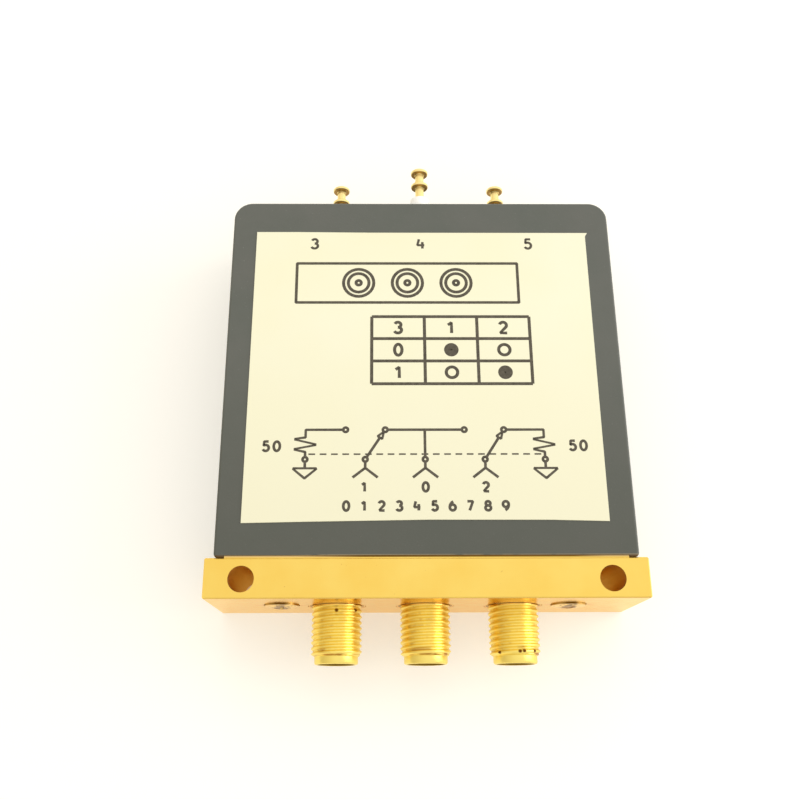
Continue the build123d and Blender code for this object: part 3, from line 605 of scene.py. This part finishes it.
for port in ("port_1", "common", "port_2"):
    low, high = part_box(port + "_shell")
    tip = THREAD_LENGTH + NOSE_LENGTH
    back = face_y - high.y
    profile = [
        (NOSE_RADIUS, THREAD_LENGTH),
        (NOSE_RADIUS, tip - NOSE_EDGE),
        (NOSE_RADIUS - NOSE_EDGE / 3, tip - NOSE_EDGE / 3),
        (NOSE_RADIUS - NOSE_EDGE, tip),
        (SOCKET_RADIUS + SOFT_EDGE / 2, tip),
        (SOCKET_RADIUS, tip - SOFT_EDGE / 2),
        (SOCKET_RADIUS, tip - SOCKET_DEPTH),
        (BORE_RADIUS, tip - SOCKET_DEPTH),
        (BORE_RADIUS, back),
        (FLANGE_RADIUS, back),
        (FLANGE_RADIUS, back + FLANGE_THICKNESS),
        (SHANK_RADIUS, back + FLANGE_THICKNESS),
        (SHANK_RADIUS, -SOFT_EDGE / 3),
        (SHANK_RADIUS - SOFT_EDGE / 3, 0),
        (CREST_RADIUS, 0),
    ]
    body = turned(port + "_jack", profile, gold, AROUND)
    cut = {
        "Crest": CREST_RADIUS, "Root": ROOT_RADIUS, "Nose": NOSE_RADIUS, "Length": THREAD_LENGTH,
        "Shoulder": SHOULDER, "Pitch": THREAD_PITCH, "Nose Slope": NOSE_SLOPE, "Foot Slope": FOOT_SLOPE,
        "Turns": math.ceil(THREAD_LENGTH / THREAD_PITCH) + 1, "Rows Per Turn": ROWS_PER_TURN,
        "Segments": AROUND, "Material": gold,
    }
    jack = grow(port + "_jack", THREAD, body, cut)
    place = Matrix.Translation(((low.x + high.x) / 2, face_y, (low.z + high.z) / 2))
    settle(jack, place @ Matrix.Rotation(math.radians(90), 4, "X"), "gold_plating", port + "_shell")


# Front block: a brass bar, milled square, bored for the jacks and gold plated all over. Its long
# faces keep the mill's fine marks, and a ledge behind it takes the cover's lip.
dress(gold, "front_block")


# Screws: cross-recess screws of stainless steel. Two raised heads in the block's front face hold
# it to the chassis, and two flat ones hold the cover from below. Those of the lid and of the
# driver board, which the cover hides, stay plain.
RIM = 0.15 * MM

# The recess in shares of the head's radius, its taper, and the cutter's share above the head.
RECESS_WIDTH = 0.24
RECESS_SPAN = 1.16
RECESS_DEPTH = 0.36
RECESS_TAPER = 0.45
ABOVE_HEAD = 0.2

SCREW_SIDES = 40


def screw_tree():
    """Sinks a cross into a turned screw's top and sets one at each point, turned by chance."""
    tree, given = new_tree(
        "screws", Screw="Object", Recess_Width="Float", Recess_Span="Float", Recess_Depth="Float",
        Top="Float", Facing="Vector", Seed="Int", Material="Material",
    )
    body = wire(tree, "GeometryNodeObjectInfo", {"Object": given["Screw"]}).node.outputs["Geometry"]
    above = product(tree, given["Recess Depth"], ABOVE_HEAD)
    tall = calc(tree, "ADD", given["Recess Depth"], above)
    size = wire(tree, "ShaderNodeCombineXYZ", {
        "X": given["Recess Span"], "Y": given["Recess Width"], "Z": tall,
    })
    blade = wire(tree, "GeometryNodeMeshCube", {"Size": size})
    parts = parts_of(tree, wire(tree, "GeometryNodeInputPosition", {}))
    half_up = product(tree, tall, 0.5)
    taper = spread(tree, parts["Z"], RECESS_TAPER, 1.0, product(tree, half_up, -1), half_up)
    x = product(tree, parts["X"], taper)
    y = product(tree, parts["Y"], taper)
    lift = calc(tree, "SUBTRACT", calc(tree, "ADD", given["Top"], above), half_up)
    z = calc(tree, "ADD", parts["Z"], lift)
    shaped = wire(tree, "ShaderNodeCombineXYZ", {"X": x, "Y": y, "Z": z})
    blade = wire(tree, "GeometryNodeSetPosition", {"Geometry": blade, "Position": shaped})
    across = wire(tree, "GeometryNodeTransform", {"Geometry": blade, "Rotation": (0, 0, math.pi / 2)})
    for cutter in (blade, across):
        pair = {"Mesh 1": body, "Mesh 2": cutter}
        body = wire(tree, "GeometryNodeMeshBoolean", pair, operation="DIFFERENCE")
    chance = {3: math.pi / 2, "Seed": given["Seed"]}
    spin = wire(tree, "FunctionNodeRandomValue", chance, data_type="FLOAT")
    angle = wire(tree, "ShaderNodeCombineXYZ", {"Z": spin})
    stood = wire(tree, "GeometryNodeInstanceOnPoints", {
        "Points": given["Geometry"], "Instance": body, "Rotation": given["Facing"],
    })
    spun = wire(tree, "GeometryNodeRotateInstances", {
        "Instances": stood, "Rotation": angle, "Local Space": True,
    })
    close_tree(tree, spun, given["Material"])
    return tree


SCREWS = screw_tree()
STEEL_LIGHT = tint(206, 198, 184)
STEEL_DARK = tint(150, 136, 116)
STEEL_RUST = tint(120, 92, 62)


def plain_tone(made):
    """What a material's colour comes from so far."""
    return sockets(made)["Base Color"].links[0].from_socket


steel = metal("screw steel", STEEL_LIGHT, STEEL_DARK, 0.34)
rust = spread(steel, grain(steel, 0.3, detail=4.0, shift=3.0), 0, 0.7, 0.5, 0.62)
feed(steel, "Base Color", blend_tints(steel, rust, plain_tone(steel), STEEL_RUST))

# The front pair is passivated to a yellow tone, with brown in and above the recesses: grime, and painted
# shade where the recess lies in shadow.
FRONT_SHANK = 1.0 * MM
FRONT_LENGTH = 8.4 * MM
FRONT_RIM = 0.16 * MM
FRONT_RAISED = 0.45 * MM
RECESS_REACH = 1.15 * MM
SCREW_LEMON = tint(253, 220, 144)
SCREW_ORANGE = tint(248, 206, 124)
GRIME_SHADE_PALE = tint(186, 150, 112)
GRIME_SHADE_DARK = tint(120, 88, 46)
RIM_SHADOW = tint(122, 90, 42)
plated = metal("plated screw steel", SCREW_LEMON, SCREW_ORANGE, 0.34)
parts = parts_of(plated, own_place(plated))
from_x = calc(plated, "SUBTRACT", calc(plated, "ABSOLUTE", parts["X"]), front_x)
from_z = calc(plated, "SUBTRACT", parts["Z"], front_z)
upward = spread(plated, from_z, 0.95, 0.5, -0.3 * MM, 0.3 * MM)
ragged = spread(plated, grain(plated, 0.4, detail=4.0, shift=9.0), 0.6, 1.3, 0.35, 0.65)
grime_shade_reach = distance(plated, from_x, product(plated, from_z, upward))
grime_shade_reach = product(plated, grime_shade_reach, ragged)
in_recess = spread(plated, grime_shade_reach, 0.9, 0, RECESS_REACH - 0.5 * MM, RECESS_REACH)
smudge = spread(plated, grain(plated, 0.35, detail=4.0, shift=3.0), 0, 1, 0.35, 0.65)
grime_shade_tone = blend_tints(plated, smudge, GRIME_SHADE_PALE, GRIME_SHADE_DARK)
worn_screw = blend_tints(plated, in_recess, plain_tone(plated), grime_shade_tone)
from_axis = distance(plated, from_x, from_z)
# A painted dark line round the head's rim: the shadow of the gap between head and countersink, fainter
# away from the middle.
at_rim = product(
    plated,
    spread(plated, from_axis, 0, 1, FRONT_HEAD - 0.1 * MM, FRONT_HEAD - 0.04 * MM),
    spread(plated, calc(plated, "ABSOLUTE", from_x), 1, 0.35, 0.5 * MM, 1.3 * MM),
)
feed(plated, "Base Color", blend_tints(plated, at_rim, worn_screw, RIM_SHADOW))


def dome(radius, height, steps=7):
    """The upper outline of a raised head, from its rim to its middle."""
    ball = (radius**2 + height**2) / (2 * height)
    sides = [radius * (1 - step / steps) for step in range(steps + 1)]
    return [(side, math.sqrt(ball**2 - side**2) - ball + height) for side in sides]


def countersunk(head, shank, length, raised, rim=0):
    """A countersunk screw's profile, with its rim flush at height 0 or standing a little proud."""
    cone = head - shank
    top = [(side, rim + up) for side, up in dome(head, raised - rim)] if raised else [(head, 0), (0, 0)]
    tip = [(0, -length), (shank - SOFT_EDGE, -length), (shank, -length + SOFT_EDGE)]
    return tip + [(shank, -RIM - cone), (head, -RIM)] + top


def screws(node, profile, head, top, places, facing, seed, material=steel):
    """Replaces a node's plain screws by turned and recessed ones at the same places."""
    body = turned(node + "_body", profile, material, SCREW_SIDES)
    points = drawn(node + "_turned", places)
    recess = {
        "Screw": body, "Recess Width": RECESS_WIDTH * head, "Recess Span": RECESS_SPAN * head,
        "Recess Depth": RECESS_DEPTH * head, "Top": top, "Facing": facing, "Seed": seed,
        "Material": material,
    }
    piece = grow(node + "_turned", SCREWS, points, recess)
    bpy.data.objects.remove(body)
    settle(piece, Matrix.Identity(4), "screw_steel", node)


places = [(x, face_y, front_z) for x in (-front_x, front_x)]
profile = countersunk(FRONT_HEAD, FRONT_SHANK, FRONT_LENGTH, FRONT_RAISED, FRONT_RIM)
screws("front_screws", profile, FRONT_HEAD, FRONT_RAISED, places, (math.pi / 2, 0, 0), 3, plated)

COVER_HEAD = 1.8 * MM
COVER_SHANK = 0.9 * MM
COVER_SCREW_LENGTH = 5.0 * MM
low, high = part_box("cover_screws")
places = [(x, (low.y + high.y) / 2, low.z) for x in (low.x + COVER_HEAD, high.x - COVER_HEAD)]
profile = countersunk(COVER_HEAD, COVER_SHANK, COVER_SCREW_LENGTH, 0)
screws("cover_screws", profile, COVER_HEAD, 0, places, (math.pi, 0, 0), 5)

dress(steel, "lid_screws", "board_screws")


# Cover: a drawn steel can with round rear corners, painted satin dark grey all over.
# The paint is thin on the front lip, where the steel's brown edge shows in places.
PAINT_GREY = tint(97, 98, 90)
PAINT_GREEN = tint(90, 94, 85)
PAINT_DARK = tint(74, 75, 64)
EDGE_TAN = tint(176, 156, 120)
LIP_FACE_SHADE = tint(90, 66, 30)
DUST_GREY = tint(150, 150, 142)
LIP_SETBACK = 0.3 * MM
LIP_WEAR = 0.14 * MM
WEAR_LEFT = (-17 * MM, -12 * MM)
DARKER_REACH = 28 * MM
paint = surface("cover paint", Specular_IOR_Level=0.5)
drift = spread(paint, grain(paint, 9.0, detail=4.0), 0, 1)
tone = blend_tints(paint, drift, PAINT_GREY, PAINT_GREEN)
dust = spread(paint, grain(paint, 0.22, detail=2.0, shift=2.0), 0, 0.4, 0.7, 0.78)
tone = blend_tints(paint, dust, tone, DUST_GREY)
parts = parts_of(paint, own_place(paint))
lip_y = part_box("cover_can")[0].y + LIP_SETBACK
near_lip = spread(paint, parts["Y"], 1, 0, lip_y + LIP_WEAR / 2, lip_y + LIP_WEAR)
ragged = spread(paint, grain(paint, 2.5, detail=4.0, shift=5.0), 0, 1, 0.3, 0.44)
right_of_end = spread(paint, parts["X"], 0.1, 1, *WEAR_LEFT)
worn = product(paint, near_lip, ragged, right_of_end)
tone = blend_tints(paint, worn, tone, EDGE_TAN)
# Darker towards the front.
darker_front = spread(paint, parts["Y"], 0.5, 0, lip_y + 1 * MM, lip_y + DARKER_REACH)
tone = blend_tints(paint, darker_front, tone, PAINT_DARK)
# Painted shade on the lip's end face, with a painted reflection of the gold block in front of it.
end_face = spread(paint, parts["Y"], 1, 0, lip_y - 0.03 * MM, lip_y + 0.03 * MM)
feed(paint, "Base Color", blend_tints(paint, end_face, tone, LIP_FACE_SHADE))
feed(paint, "Roughness", spread(paint, grain(paint, 1.5), 0.42, 0.56))
relief(paint, grain(paint, 0.35, detail=3.0), 0.018, 0.8)
dress(paint, "cover_can")


# Terminals: turned brass turret posts, gold plated, with two discs that a wire is wrapped and
# soldered between. The control and supply posts stand in fluoropolymer, the ground post in brass.
STEM_RADIUS = 0.6 * MM
DISC_RADIUS = 1.2 * MM
SLEEVE_RADIUS = 1.35 * MM
DISC_EDGE = 0.1 * MM
STEM_FILLET = 0.12 * MM
POST_SIDES = 48


def disc(top):
    """A solder disc's outline, from its filleted inner side to its outer side."""
    under = top - DISC_THICKNESS
    return [
        (STEM_RADIUS, under - STEM_FILLET),
        (STEM_RADIUS + STEM_FILLET, under),
        (DISC_RADIUS - DISC_EDGE, under),
        (DISC_RADIUS, under + DISC_EDGE),
        (DISC_RADIUS, top - DISC_EDGE),
        (DISC_RADIUS - DISC_EDGE, top),
    ]


def sleeve_outline(bottom, top):
    """A sleeve's outline round a post, with softened outer edges."""
    return [
        (STEM_RADIUS, bottom),
        (SLEEVE_RADIUS - SOFT_EDGE, bottom),
        (SLEEVE_RADIUS, bottom + SOFT_EDGE),
        (SLEEVE_RADIUS, top - SOFT_EDGE),
        (SLEEVE_RADIUS - SOFT_EDGE, top),
        (STEM_RADIUS, top),
        (STEM_RADIUS, bottom),
    ]


SLEEVES = (
    ("control", "control_insulator", ptfe, "ptfe"),
    ("supply", "supply_insulator", ptfe, "ptfe"),
    ("ground", "ground_bushing", gold, "gold_plating"),
)
for post, sleeve, material, slot in SLEEVES:
    low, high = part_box(post + "_terminal")
    length = high.y - low.y
    middle = ((low.x + high.x) / 2, low.y, (low.z + high.z) / 2)
    place = Matrix.Translation(middle) @ Matrix.Rotation(math.radians(-90), 4, "X")
    first_disc = length - DISC_PITCH
    profile = [(0, 0), (STEM_RADIUS - DISC_EDGE, 0), (STEM_RADIUS, DISC_EDGE)]
    profile += disc(first_disc)
    profile += [(STEM_RADIUS + STEM_FILLET, first_disc), (STEM_RADIUS, first_disc + STEM_FILLET)]
    profile += disc(length)
    profile += [(0, length)]
    turret = turned(post + "_turret", profile, gold, POST_SIDES)
    settle(turret, place, "gold_plating", post + "_terminal")
    sleeve_low, sleeve_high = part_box(sleeve)
    ends = (sleeve_low.y - low.y, sleeve_high.y - low.y)
    tube = turned(sleeve + "_turned", sleeve_outline(*ends), material, POST_SIDES)
    settle(tube, place, slot, sleeve)


# Label: cream film, cut by hand, printed and stuck to the cover. One corner is nicked. It carries
# a wiring sketch, a table of which port is on, a front view and numbers for the connections.
CUT_CORNERS = (
    (-22.84, -18.0), (-14.3, -17.84), (0.4, -17.62), (15.3, -17.66), (22.66, -17.84),
    (22.68, 22.15), (23.0, 22.69), (-7.1, 22.71), (-16.8, 22.8), (-22.7, 22.8),
)
FILM_SOFTNESS = 0.03 * MM
AGED_FRONT = (-18 * MM, 12 * MM)
FILM_CREAM = tint(251, 248, 218)
FILM_YELLOW = tint(250, 246, 211)
FILM_AGED = tint(244, 240, 208)
film = surface("label film", Specular_IOR_Level=0.4)
fading = spread(film, grain(film, 14.0), 0, 1)
film_tone = blend_tints(film, fading, FILM_CREAM, FILM_YELLOW)
parts = parts_of(film, own_place(film))
aged = spread(film, parts["Y"], 1, 0, *AGED_FRONT)
feed(film, "Base Color", blend_tints(film, aged, film_tone, FILM_AGED))
feed(film, "Roughness", spread(film, grain(film, 0.8), 0.46, 0.6))
relief(film, grain(film, 2.5), 0.01, 0.5)

film_low, film_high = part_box("label")


def film_sheet():
    """The cut sheet of film, a closed solid with a slightly softened upper edge."""
    made = bmesh.new()
    base = made.faces.new([made.verts.new((x * MM, y * MM, film_low.z)) for x, y in CUT_CORNERS])
    base.normal_flip()
    raised = bmesh.ops.extrude_face_region(made, geom=[base], use_keep_orig=True)["geom"]
    upper = [part for part in raised if isinstance(part, bmesh.types.BMVert)]
    bmesh.ops.translate(made, vec=(0, 0, film_high.z - film_low.z), verts=upper)
    bmesh.ops.recalc_face_normals(made, faces=made.faces)
    halfway = (film_low.z + film_high.z) / 2
    rim = [edge for edge in made.edges if all(vert.co.z > halfway for vert in edge.verts)]
    bmesh.ops.bevel(made, geom=rim, offset=FILM_SOFTNESS, segments=2, affect="EDGES", profile=0.5)
    mesh = bpy.data.meshes.new("label_sheet")
    made.to_mesh(mesh)
    made.free()
    mesh.materials.append(film)
    return placed("label_sheet", mesh)


settle(film_sheet(), Matrix.Identity(4), "label_film", "label")


# Print: dark grey-brown ink on the film, all of it drawn by pens of a few widths. Each line lies a
# trace higher than the last, so that crossings stay clean. Places and pens are in millimetres.
FINE_PEN = 0.2
PEN = 0.35
BOLD_PEN = 0.42
INK_THICKNESS = 0.006 * MM
INK_STEP = 0.0001 * MM
BEND = 0.06 * MM
INK_DARK = tint(78, 72, 60)
INK_PALE = tint(100, 93, 79)
ink = surface("label ink", Roughness=0.5, Specular_IOR_Level=0.3)
feed(ink, "Base Color", blend_tints(ink, spread(ink, grain(ink, 0.5), 0, 1), INK_DARK, INK_PALE))


def pen_tree():
    """Draws every line of a mesh with a flat pen, rounding its bends a little."""
    tree, given = new_tree("pen", Width="Float", Thickness="Float", Bend="Float", Material="Material")
    route = wire(tree, "GeometryNodeMeshToCurve", {"Mesh": given["Geometry"]})
    eased = wire(tree, "GeometryNodeFilletCurve", {
        "Curve": route, "Radius": given["Bend"], "Limit Radius": True,
    })
    upright = wire(tree, "GeometryNodeSetCurveNormal", {"Curve": eased}, mode="Z_UP")
    nib = wire(tree, "GeometryNodeCurvePrimitiveQuadrilateral", {
        "Width": given["Width"], "Height": given["Thickness"],
    })
    drawn_line = wire(tree, "GeometryNodeCurveToMesh", {
        "Curve": upright, "Profile Curve": nib, "Fill Caps": True,
    })
    close_tree(tree, drawn_line, given["Material"])
    return tree


PEN_TREE = pen_tree()


def printed(name, chains, pen, under=0):
    """Prints lines of points in millimetres, each a trace higher than those under it.

    A line that ends where it starts is closed.
    """
    points = []
    edges = []
    for layer, chain in enumerate(chains, under):
        first = len(points)
        closed = math.dist(chain[0], chain[-1]) < 0.001
        kept = chain[:-1] if closed else chain
        points += [(x * MM, y * MM, layer * INK_STEP) for x, y in kept]
        edges += [(first + i, first + i + 1) for i in range(len(kept) - 1)]
        if closed:
            edges.append((len(points) - 1, first))
    given = {"Width": pen * MM, "Thickness": INK_THICKNESS, "Bend": BEND, "Material": ink}
    piece = grow(name, PEN_TREE, drawn(name, points, edges), given)
    settle(piece, Matrix.Translation((0, 0, film_high.z + INK_THICKNESS / 2)), "label_film")


def arc(x, y, wide, high, start, end, steps=20):
    """Points along part of an ellipse, between two angles in degrees."""
    angles = [math.radians(start + (end - start) * step / steps) for step in range(steps + 1)]
    return [(x + wide * math.cos(angle), y + high * math.sin(angle)) for angle in angles]


def ring(x, y, radius):
    """A small circle."""
    return arc(x, y, radius, radius, 0, 360, 28)


# Each digit's strokes, in a box as high as 1.
DIGIT_WIDTH = 0.62
DIGIT_GAP = 1.7
SIX = [arc(0.31, 0.32, 0.31, 0.32, 0, 360), arc(0.62, 0.34, 0.62, 0.68, 180, 112, 10)]
DIGITS = {
    "0": [arc(0.31, 0.5, 0.31, 0.5, 0, 360)],
    "1": [[(0.08, 0.74), (0.38, 0.98), (0.38, 0)]],
    "2": [arc(0.3, 0.71, 0.29, 0.29, 165, -32, 14) + [(0.02, 0), (0.62, 0)]],
    "3": [arc(0.29, 0.76, 0.26, 0.24, 160, -90, 14), arc(0.29, 0.27, 0.31, 0.27, 90, -160, 14)],
    "4": [[(0.16, 1), (0, 0.36), (0.66, 0.36)], [(0.48, 0.7), (0.48, 0)]],
    "5": [[(0.56, 1), (0.12, 1), (0.07, 0.55)] + arc(0.29, 0.32, 0.31, 0.32, 120, -155, 14)],
    "6": SIX,
    "7": [[(0, 1), (0.6, 1), (0.22, 0)]],
    "8": [arc(0.31, 0.77, 0.25, 0.23, 0, 360), arc(0.31, 0.27, 0.3, 0.27, 0, 360)],
    "9": [[(DIGIT_WIDTH - x, 1 - y) for x, y in line] for line in SIX],
}


def number(digits, x, y, cap, pen=PEN):
    """The strokes of a number whose middle and whose full height are given."""
    tall = cap - pen
    step = DIGIT_WIDTH * tall + DIGIT_GAP * pen
    left = x - ((len(digits) - 1) * step + DIGIT_WIDTH * tall) / 2
    strokes = [(left + i * step, line) for i, digit in enumerate(digits) for line in DIGITS[digit]]
    return [[(start + u * tall, y - tall / 2 + v * tall) for u, v in line] for start, line in strokes]


# The wiring sketch: the rail's and the feet's Y, how far out the ports, contacts and loads stand,
# the circles' radius and the signs' outlines.
RAIL = -5.98
FOOT = -9.9
PORT = 7.57
NEAR = 5.04
FAR = 10.09
LOAD = 15.17
NODE = 0.3
ZIGZAG = ((0, -7.0), (-1.62, -7.22), (1.55, -7.97), (-1.62, -8.57), (0, -8.92))
EARTH = ((-1.56, -11.06), (1.56, -11.06), (0, -12.36), (-1.56, -11.06))
FORK = ((-1.58, -12.26), (0, -11.02), (1.58, -12.26))
HEAD_LENGTH = 0.95
HEAD_HALF_WIDTH = 0.34


def shifted(outline, x):
    """An outline's points, moved sideways."""
    return [(x + u, y) for u, y in outline]


lines = [[(-NEAR + NODE, RAIL), (NEAR - NODE, RAIL)], [(0, RAIL), (0, FOOT + NODE)]]
for side in (-1, 1):
    load = side * LOAD
    wires = [(side * (FAR + NODE), RAIL), (load, RAIL), *shifted(ZIGZAG, load), (load, FOOT + NODE)]
    lines.append(wires)
    lines.append([(load, FOOT - NODE), (load, EARTH[0][1])])
    lines.append(shifted(EARTH, load))
    lines += [ring(load, FOOT, NODE), ring(side * FAR, RAIL, NODE), ring(side * NEAR, RAIL, NODE)]
for x in (-PORT, 0, PORT):
    lines.append(ring(x, FOOT, NODE))
    lines.append([(x, FOOT - NODE), (x, FORK[1][1])])
    lines.append(shifted(FORK, x))
for start_x, end_x in ((-PORT, -NEAR), (PORT, FAR)):
    foot = Vector((start_x, FOOT))
    head = Vector((end_x, RAIL))
    way = (head - foot).normalized()
    across = Vector((-way.y, way.x)) * HEAD_HALF_WIDTH
    tip = head - way * NODE
    back = tip - way * HEAD_LENGTH
    lines.append([tuple(foot + way * NODE), tuple(back)])
    lines.append([tuple(tip), tuple(back + across), tuple(back - across), tuple(tip)])

# Each number's digits, its middle and its height: ohms, ports, terminals and the row in front.
NUMBERS = (
    ("50", -19.46, -8.16, 1.6), ("50", 19.46, -8.1, 1.6),
    ("1", -7.7, -13.48, 1.5), ("0", 0, -13.48, 1.5), ("2", 7.54, -13.48, 1.5),
    ("3", -14.67, 20.94, 1.8), ("4", -0.12, 20.94, 1.8), ("5", 14.69, 20.94, 1.8),
    *[(str(digit), -9.9 + 2.2 * digit, -15.9, 1.5) for digit in range(10)],
)
for digits, x, y, cap in NUMBERS:
    lines += number(digits, x, y, cap)
printed("label_lines", lines, PEN)

# The dashed line across the sketch.
DASHES = 21
DASH_STEP = 1.43
DASH_LEFT = -14.75
DASH_LENGTH = 0.85
DASH_Y = -9.22
starts = [DASH_LEFT + DASH_STEP * i for i in range(DASHES)]
dashes = [[(start, DASH_Y), (start + DASH_LENGTH, DASH_Y)] for start in starts]
printed("label_dashes", dashes, FINE_PEN, len(lines))

# The table: the control level in its first column, and a filled dot for the port that is on.
TABLE_LEFT = -6.8
TABLE_TOP = 9.9
COLUMN = 7.0
ROW = 3.2
TABLE_CAP = 2.0
FILLED_DOT = (0.75, 0.45, 0.18)
OPEN_DOT = (0.75,)
bold = []
for row in range(4):
    y = TABLE_TOP - row * ROW
    bold.append([(TABLE_LEFT, y), (TABLE_LEFT + 3 * COLUMN, y)])
for column in range(4):
    x = TABLE_LEFT + column * COLUMN
    bold.append([(x, TABLE_TOP), (x, TABLE_TOP - 3 * ROW)])


def cell(row, column):
    """The middle of one of the table's cells."""
    return TABLE_LEFT + (column + 0.5) * COLUMN, TABLE_TOP - (row + 0.5) * ROW


for row, heads in enumerate((("3", "1", "2"), ("0",), ("1",))):
    for column, digit in enumerate(heads):
        bold += number(digit, *cell(row, column), TABLE_CAP, BOLD_PEN)
for row, on in ((1, 1), (2, 2)):
    for column in (1, 2):
        radii = FILLED_DOT if column == on else OPEN_DOT
        bold += [ring(*cell(row, column), radius) for radius in radii]

# The front view: the bar's outline and its three jacks.
BAR = [(-17.0, 12.0), (13.0, 12.0), (13.0, 17.9), (-17.0, 17.9), (-17.0, 12.0)]
BAR_MIDDLE = (-2.0, 14.95)
RING_STEP = 6.6
RINGS = (2.05, 1.4, 0.35)
bold.append(BAR)
for step in (-1, 0, 1):
    middle = (BAR_MIDDLE[0] + RING_STEP * step, BAR_MIDDLE[1])
    bold += [ring(*middle, radius) for radius in RINGS]
printed("label_drawing", bold, BOLD_PEN)


# Stage: a pale floor, a bright room, one soft lamp and the camera, none of which belong to the
# object. The floor goes on to the horizon, and shows white to the camera and in reflections; it is
# warm under the two holes, where the gold walls light it.
FLOOR_SIZE = 4.0
FLOOR_GREY = tint(230, 226, 213)
FLOOR_BROWN = tint(226, 190, 150)
ROOM_TONE = tint(255, 245, 228)
COVERED = 0.55
OPEN = 0.36
half = FLOOR_SIZE / 2
floor_corners = [(-half, -half, 0), (half, -half, 0), (half, half, 0), (-half, half, 0)]
floor = drawn("floor", floor_corners, faces=[(0, 1, 2, 3)])
paper = surface("floor paper", Roughness=0.9)
rays = wire(paper, "ShaderNodeLightPath", {}).node.outputs
seen = calc(paper, "MAXIMUM", rays["Is Camera Ray"], rays["Is Glossy Ray"])
seen = calc(paper, "MAXIMUM", seen, rays["Is Transmission Ray"])
from_hole = from_holes(paper, parts_of(paper, own_place(paper)))
clear = spread(paper, from_hole, 0, 1, HOLE_RADIUS, HOLE_RADIUS + 0.1 * MM)
feed(paper, "Base Color", blend_tints(paper, clear, FLOOR_BROWN, FLOOR_GREY))
feed(paper, "Emission Color", blend_tints(paper, clear, FLOOR_BROWN, WHITE))
glow = spread(paper, clear, COVERED, OPEN, 0, 1)
feed(paper, "Emission Strength", product(paper, seen, glow))
floor.data.materials.append(paper)

# The room is brightest overhead and behind, and a little dimmer and warmer on the left.
SIDE_LIGHT = 0.68
TOP_LIGHT = 0.97
LEFT_SHARE = 0.88
BACK_LIGHT = 0.35
CEILING_LIGHT = 0.06
ROOM_LEVEL = 0.94
world = bpy.data.worlds.new("studio")
bpy.context.scene.world = world
world.use_nodes = True
studio = world.node_tree
parts = parts_of(studio, wire(studio, "ShaderNodeTexCoord", {}).node.outputs["Generated"])
overhead = spread(studio, parts["Z"], SIDE_LIGHT, TOP_LIGHT, 0.0, 0.7)
dim_left = spread(studio, parts["X"], LEFT_SHARE, 1.0, -0.8, -0.2)
bright_back = spread(studio, parts["Y"], 0, BACK_LIGHT, 0.15, 0.7)
light = calc(studio, "ADD", product(studio, overhead, dim_left), bright_back)
light = product(studio, light, ROOM_LEVEL)
light = calc(studio, "ADD", light, spread(studio, parts["Z"], 0, CEILING_LIGHT, 0.86, 0.95))
rays = wire(studio, "ShaderNodeLightPath", {}).node.outputs
not_seen = calc(studio, "SUBTRACT", 1, rays["Is Camera Ray"])
from_left = product(studio, spread(studio, parts["X"], 1, 0, -0.8, 0.1), not_seen)
background = studio.nodes["Background"].inputs
studio.links.new(blend_tints(studio, from_left, WHITE, ROOM_TONE), background["Color"])
levels = {0: rays["Is Camera Ray"], 2: light, 3: 1.0}
white = wire(studio, "ShaderNodeMix", levels, data_type="FLOAT")
studio.links.new(white, background["Strength"])

LAMP_PLACE = Vector((0.5, 0.055, 0.21))
LAMP_AIM = Vector((0, 0, 0.008))
lamp_data = bpy.data.lights.new("window", "AREA")
lamp_data.shape = "SQUARE"
lamp_data.size = 0.35
lamp_data.energy = 1.05
lamp = placed("window", lamp_data)
lamp.location = LAMP_PLACE
lamp.rotation_euler = (LAMP_AIM - LAMP_PLACE).to_track_quat("-Z", "Y").to_euler()

PICTURE_SIDE = 800
SENSOR = 36.0
CAMERA_PLACE = Vector((-5.406, -41.251, 123.505)) * MM
CAMERA_YAW = math.radians(1.510)
CAMERA_DIP = math.radians(70.095)
CAMERA_ROLL = math.radians(1.369)
FOCAL_SHARE = 894.247 / PICTURE_SIDE
AXIS_SHIFT = (PICTURE_SIDE / 2 - 390.377) / PICTURE_SIDE
camera_data = bpy.data.cameras.new("camera")
camera_data.sensor_width = SENSOR
camera_data.lens = SENSOR * FOCAL_SHARE
camera_data.shift_x = AXIS_SHIFT
camera_data.clip_start = 0.005
camera_data.clip_end = 20.0
camera = placed("camera", camera_data)
ahead = Vector((
    math.sin(CAMERA_YAW) * math.cos(CAMERA_DIP),
    math.cos(CAMERA_YAW) * math.cos(CAMERA_DIP),
    -math.sin(CAMERA_DIP),
))
level = Vector((math.cos(CAMERA_YAW), -math.sin(CAMERA_YAW), 0))
upward = level.cross(ahead)
right = math.cos(CAMERA_ROLL) * level + math.sin(CAMERA_ROLL) * upward
top = math.cos(CAMERA_ROLL) * upward - math.sin(CAMERA_ROLL) * level
turn = Matrix((right, top, -ahead)).transposed()
camera.matrix_world = Matrix.Translation(CAMERA_PLACE) @ turn.to_4x4()
bpy.context.scene.camera = camera
bpy.context.scene.view_settings.view_transform = "Standard"
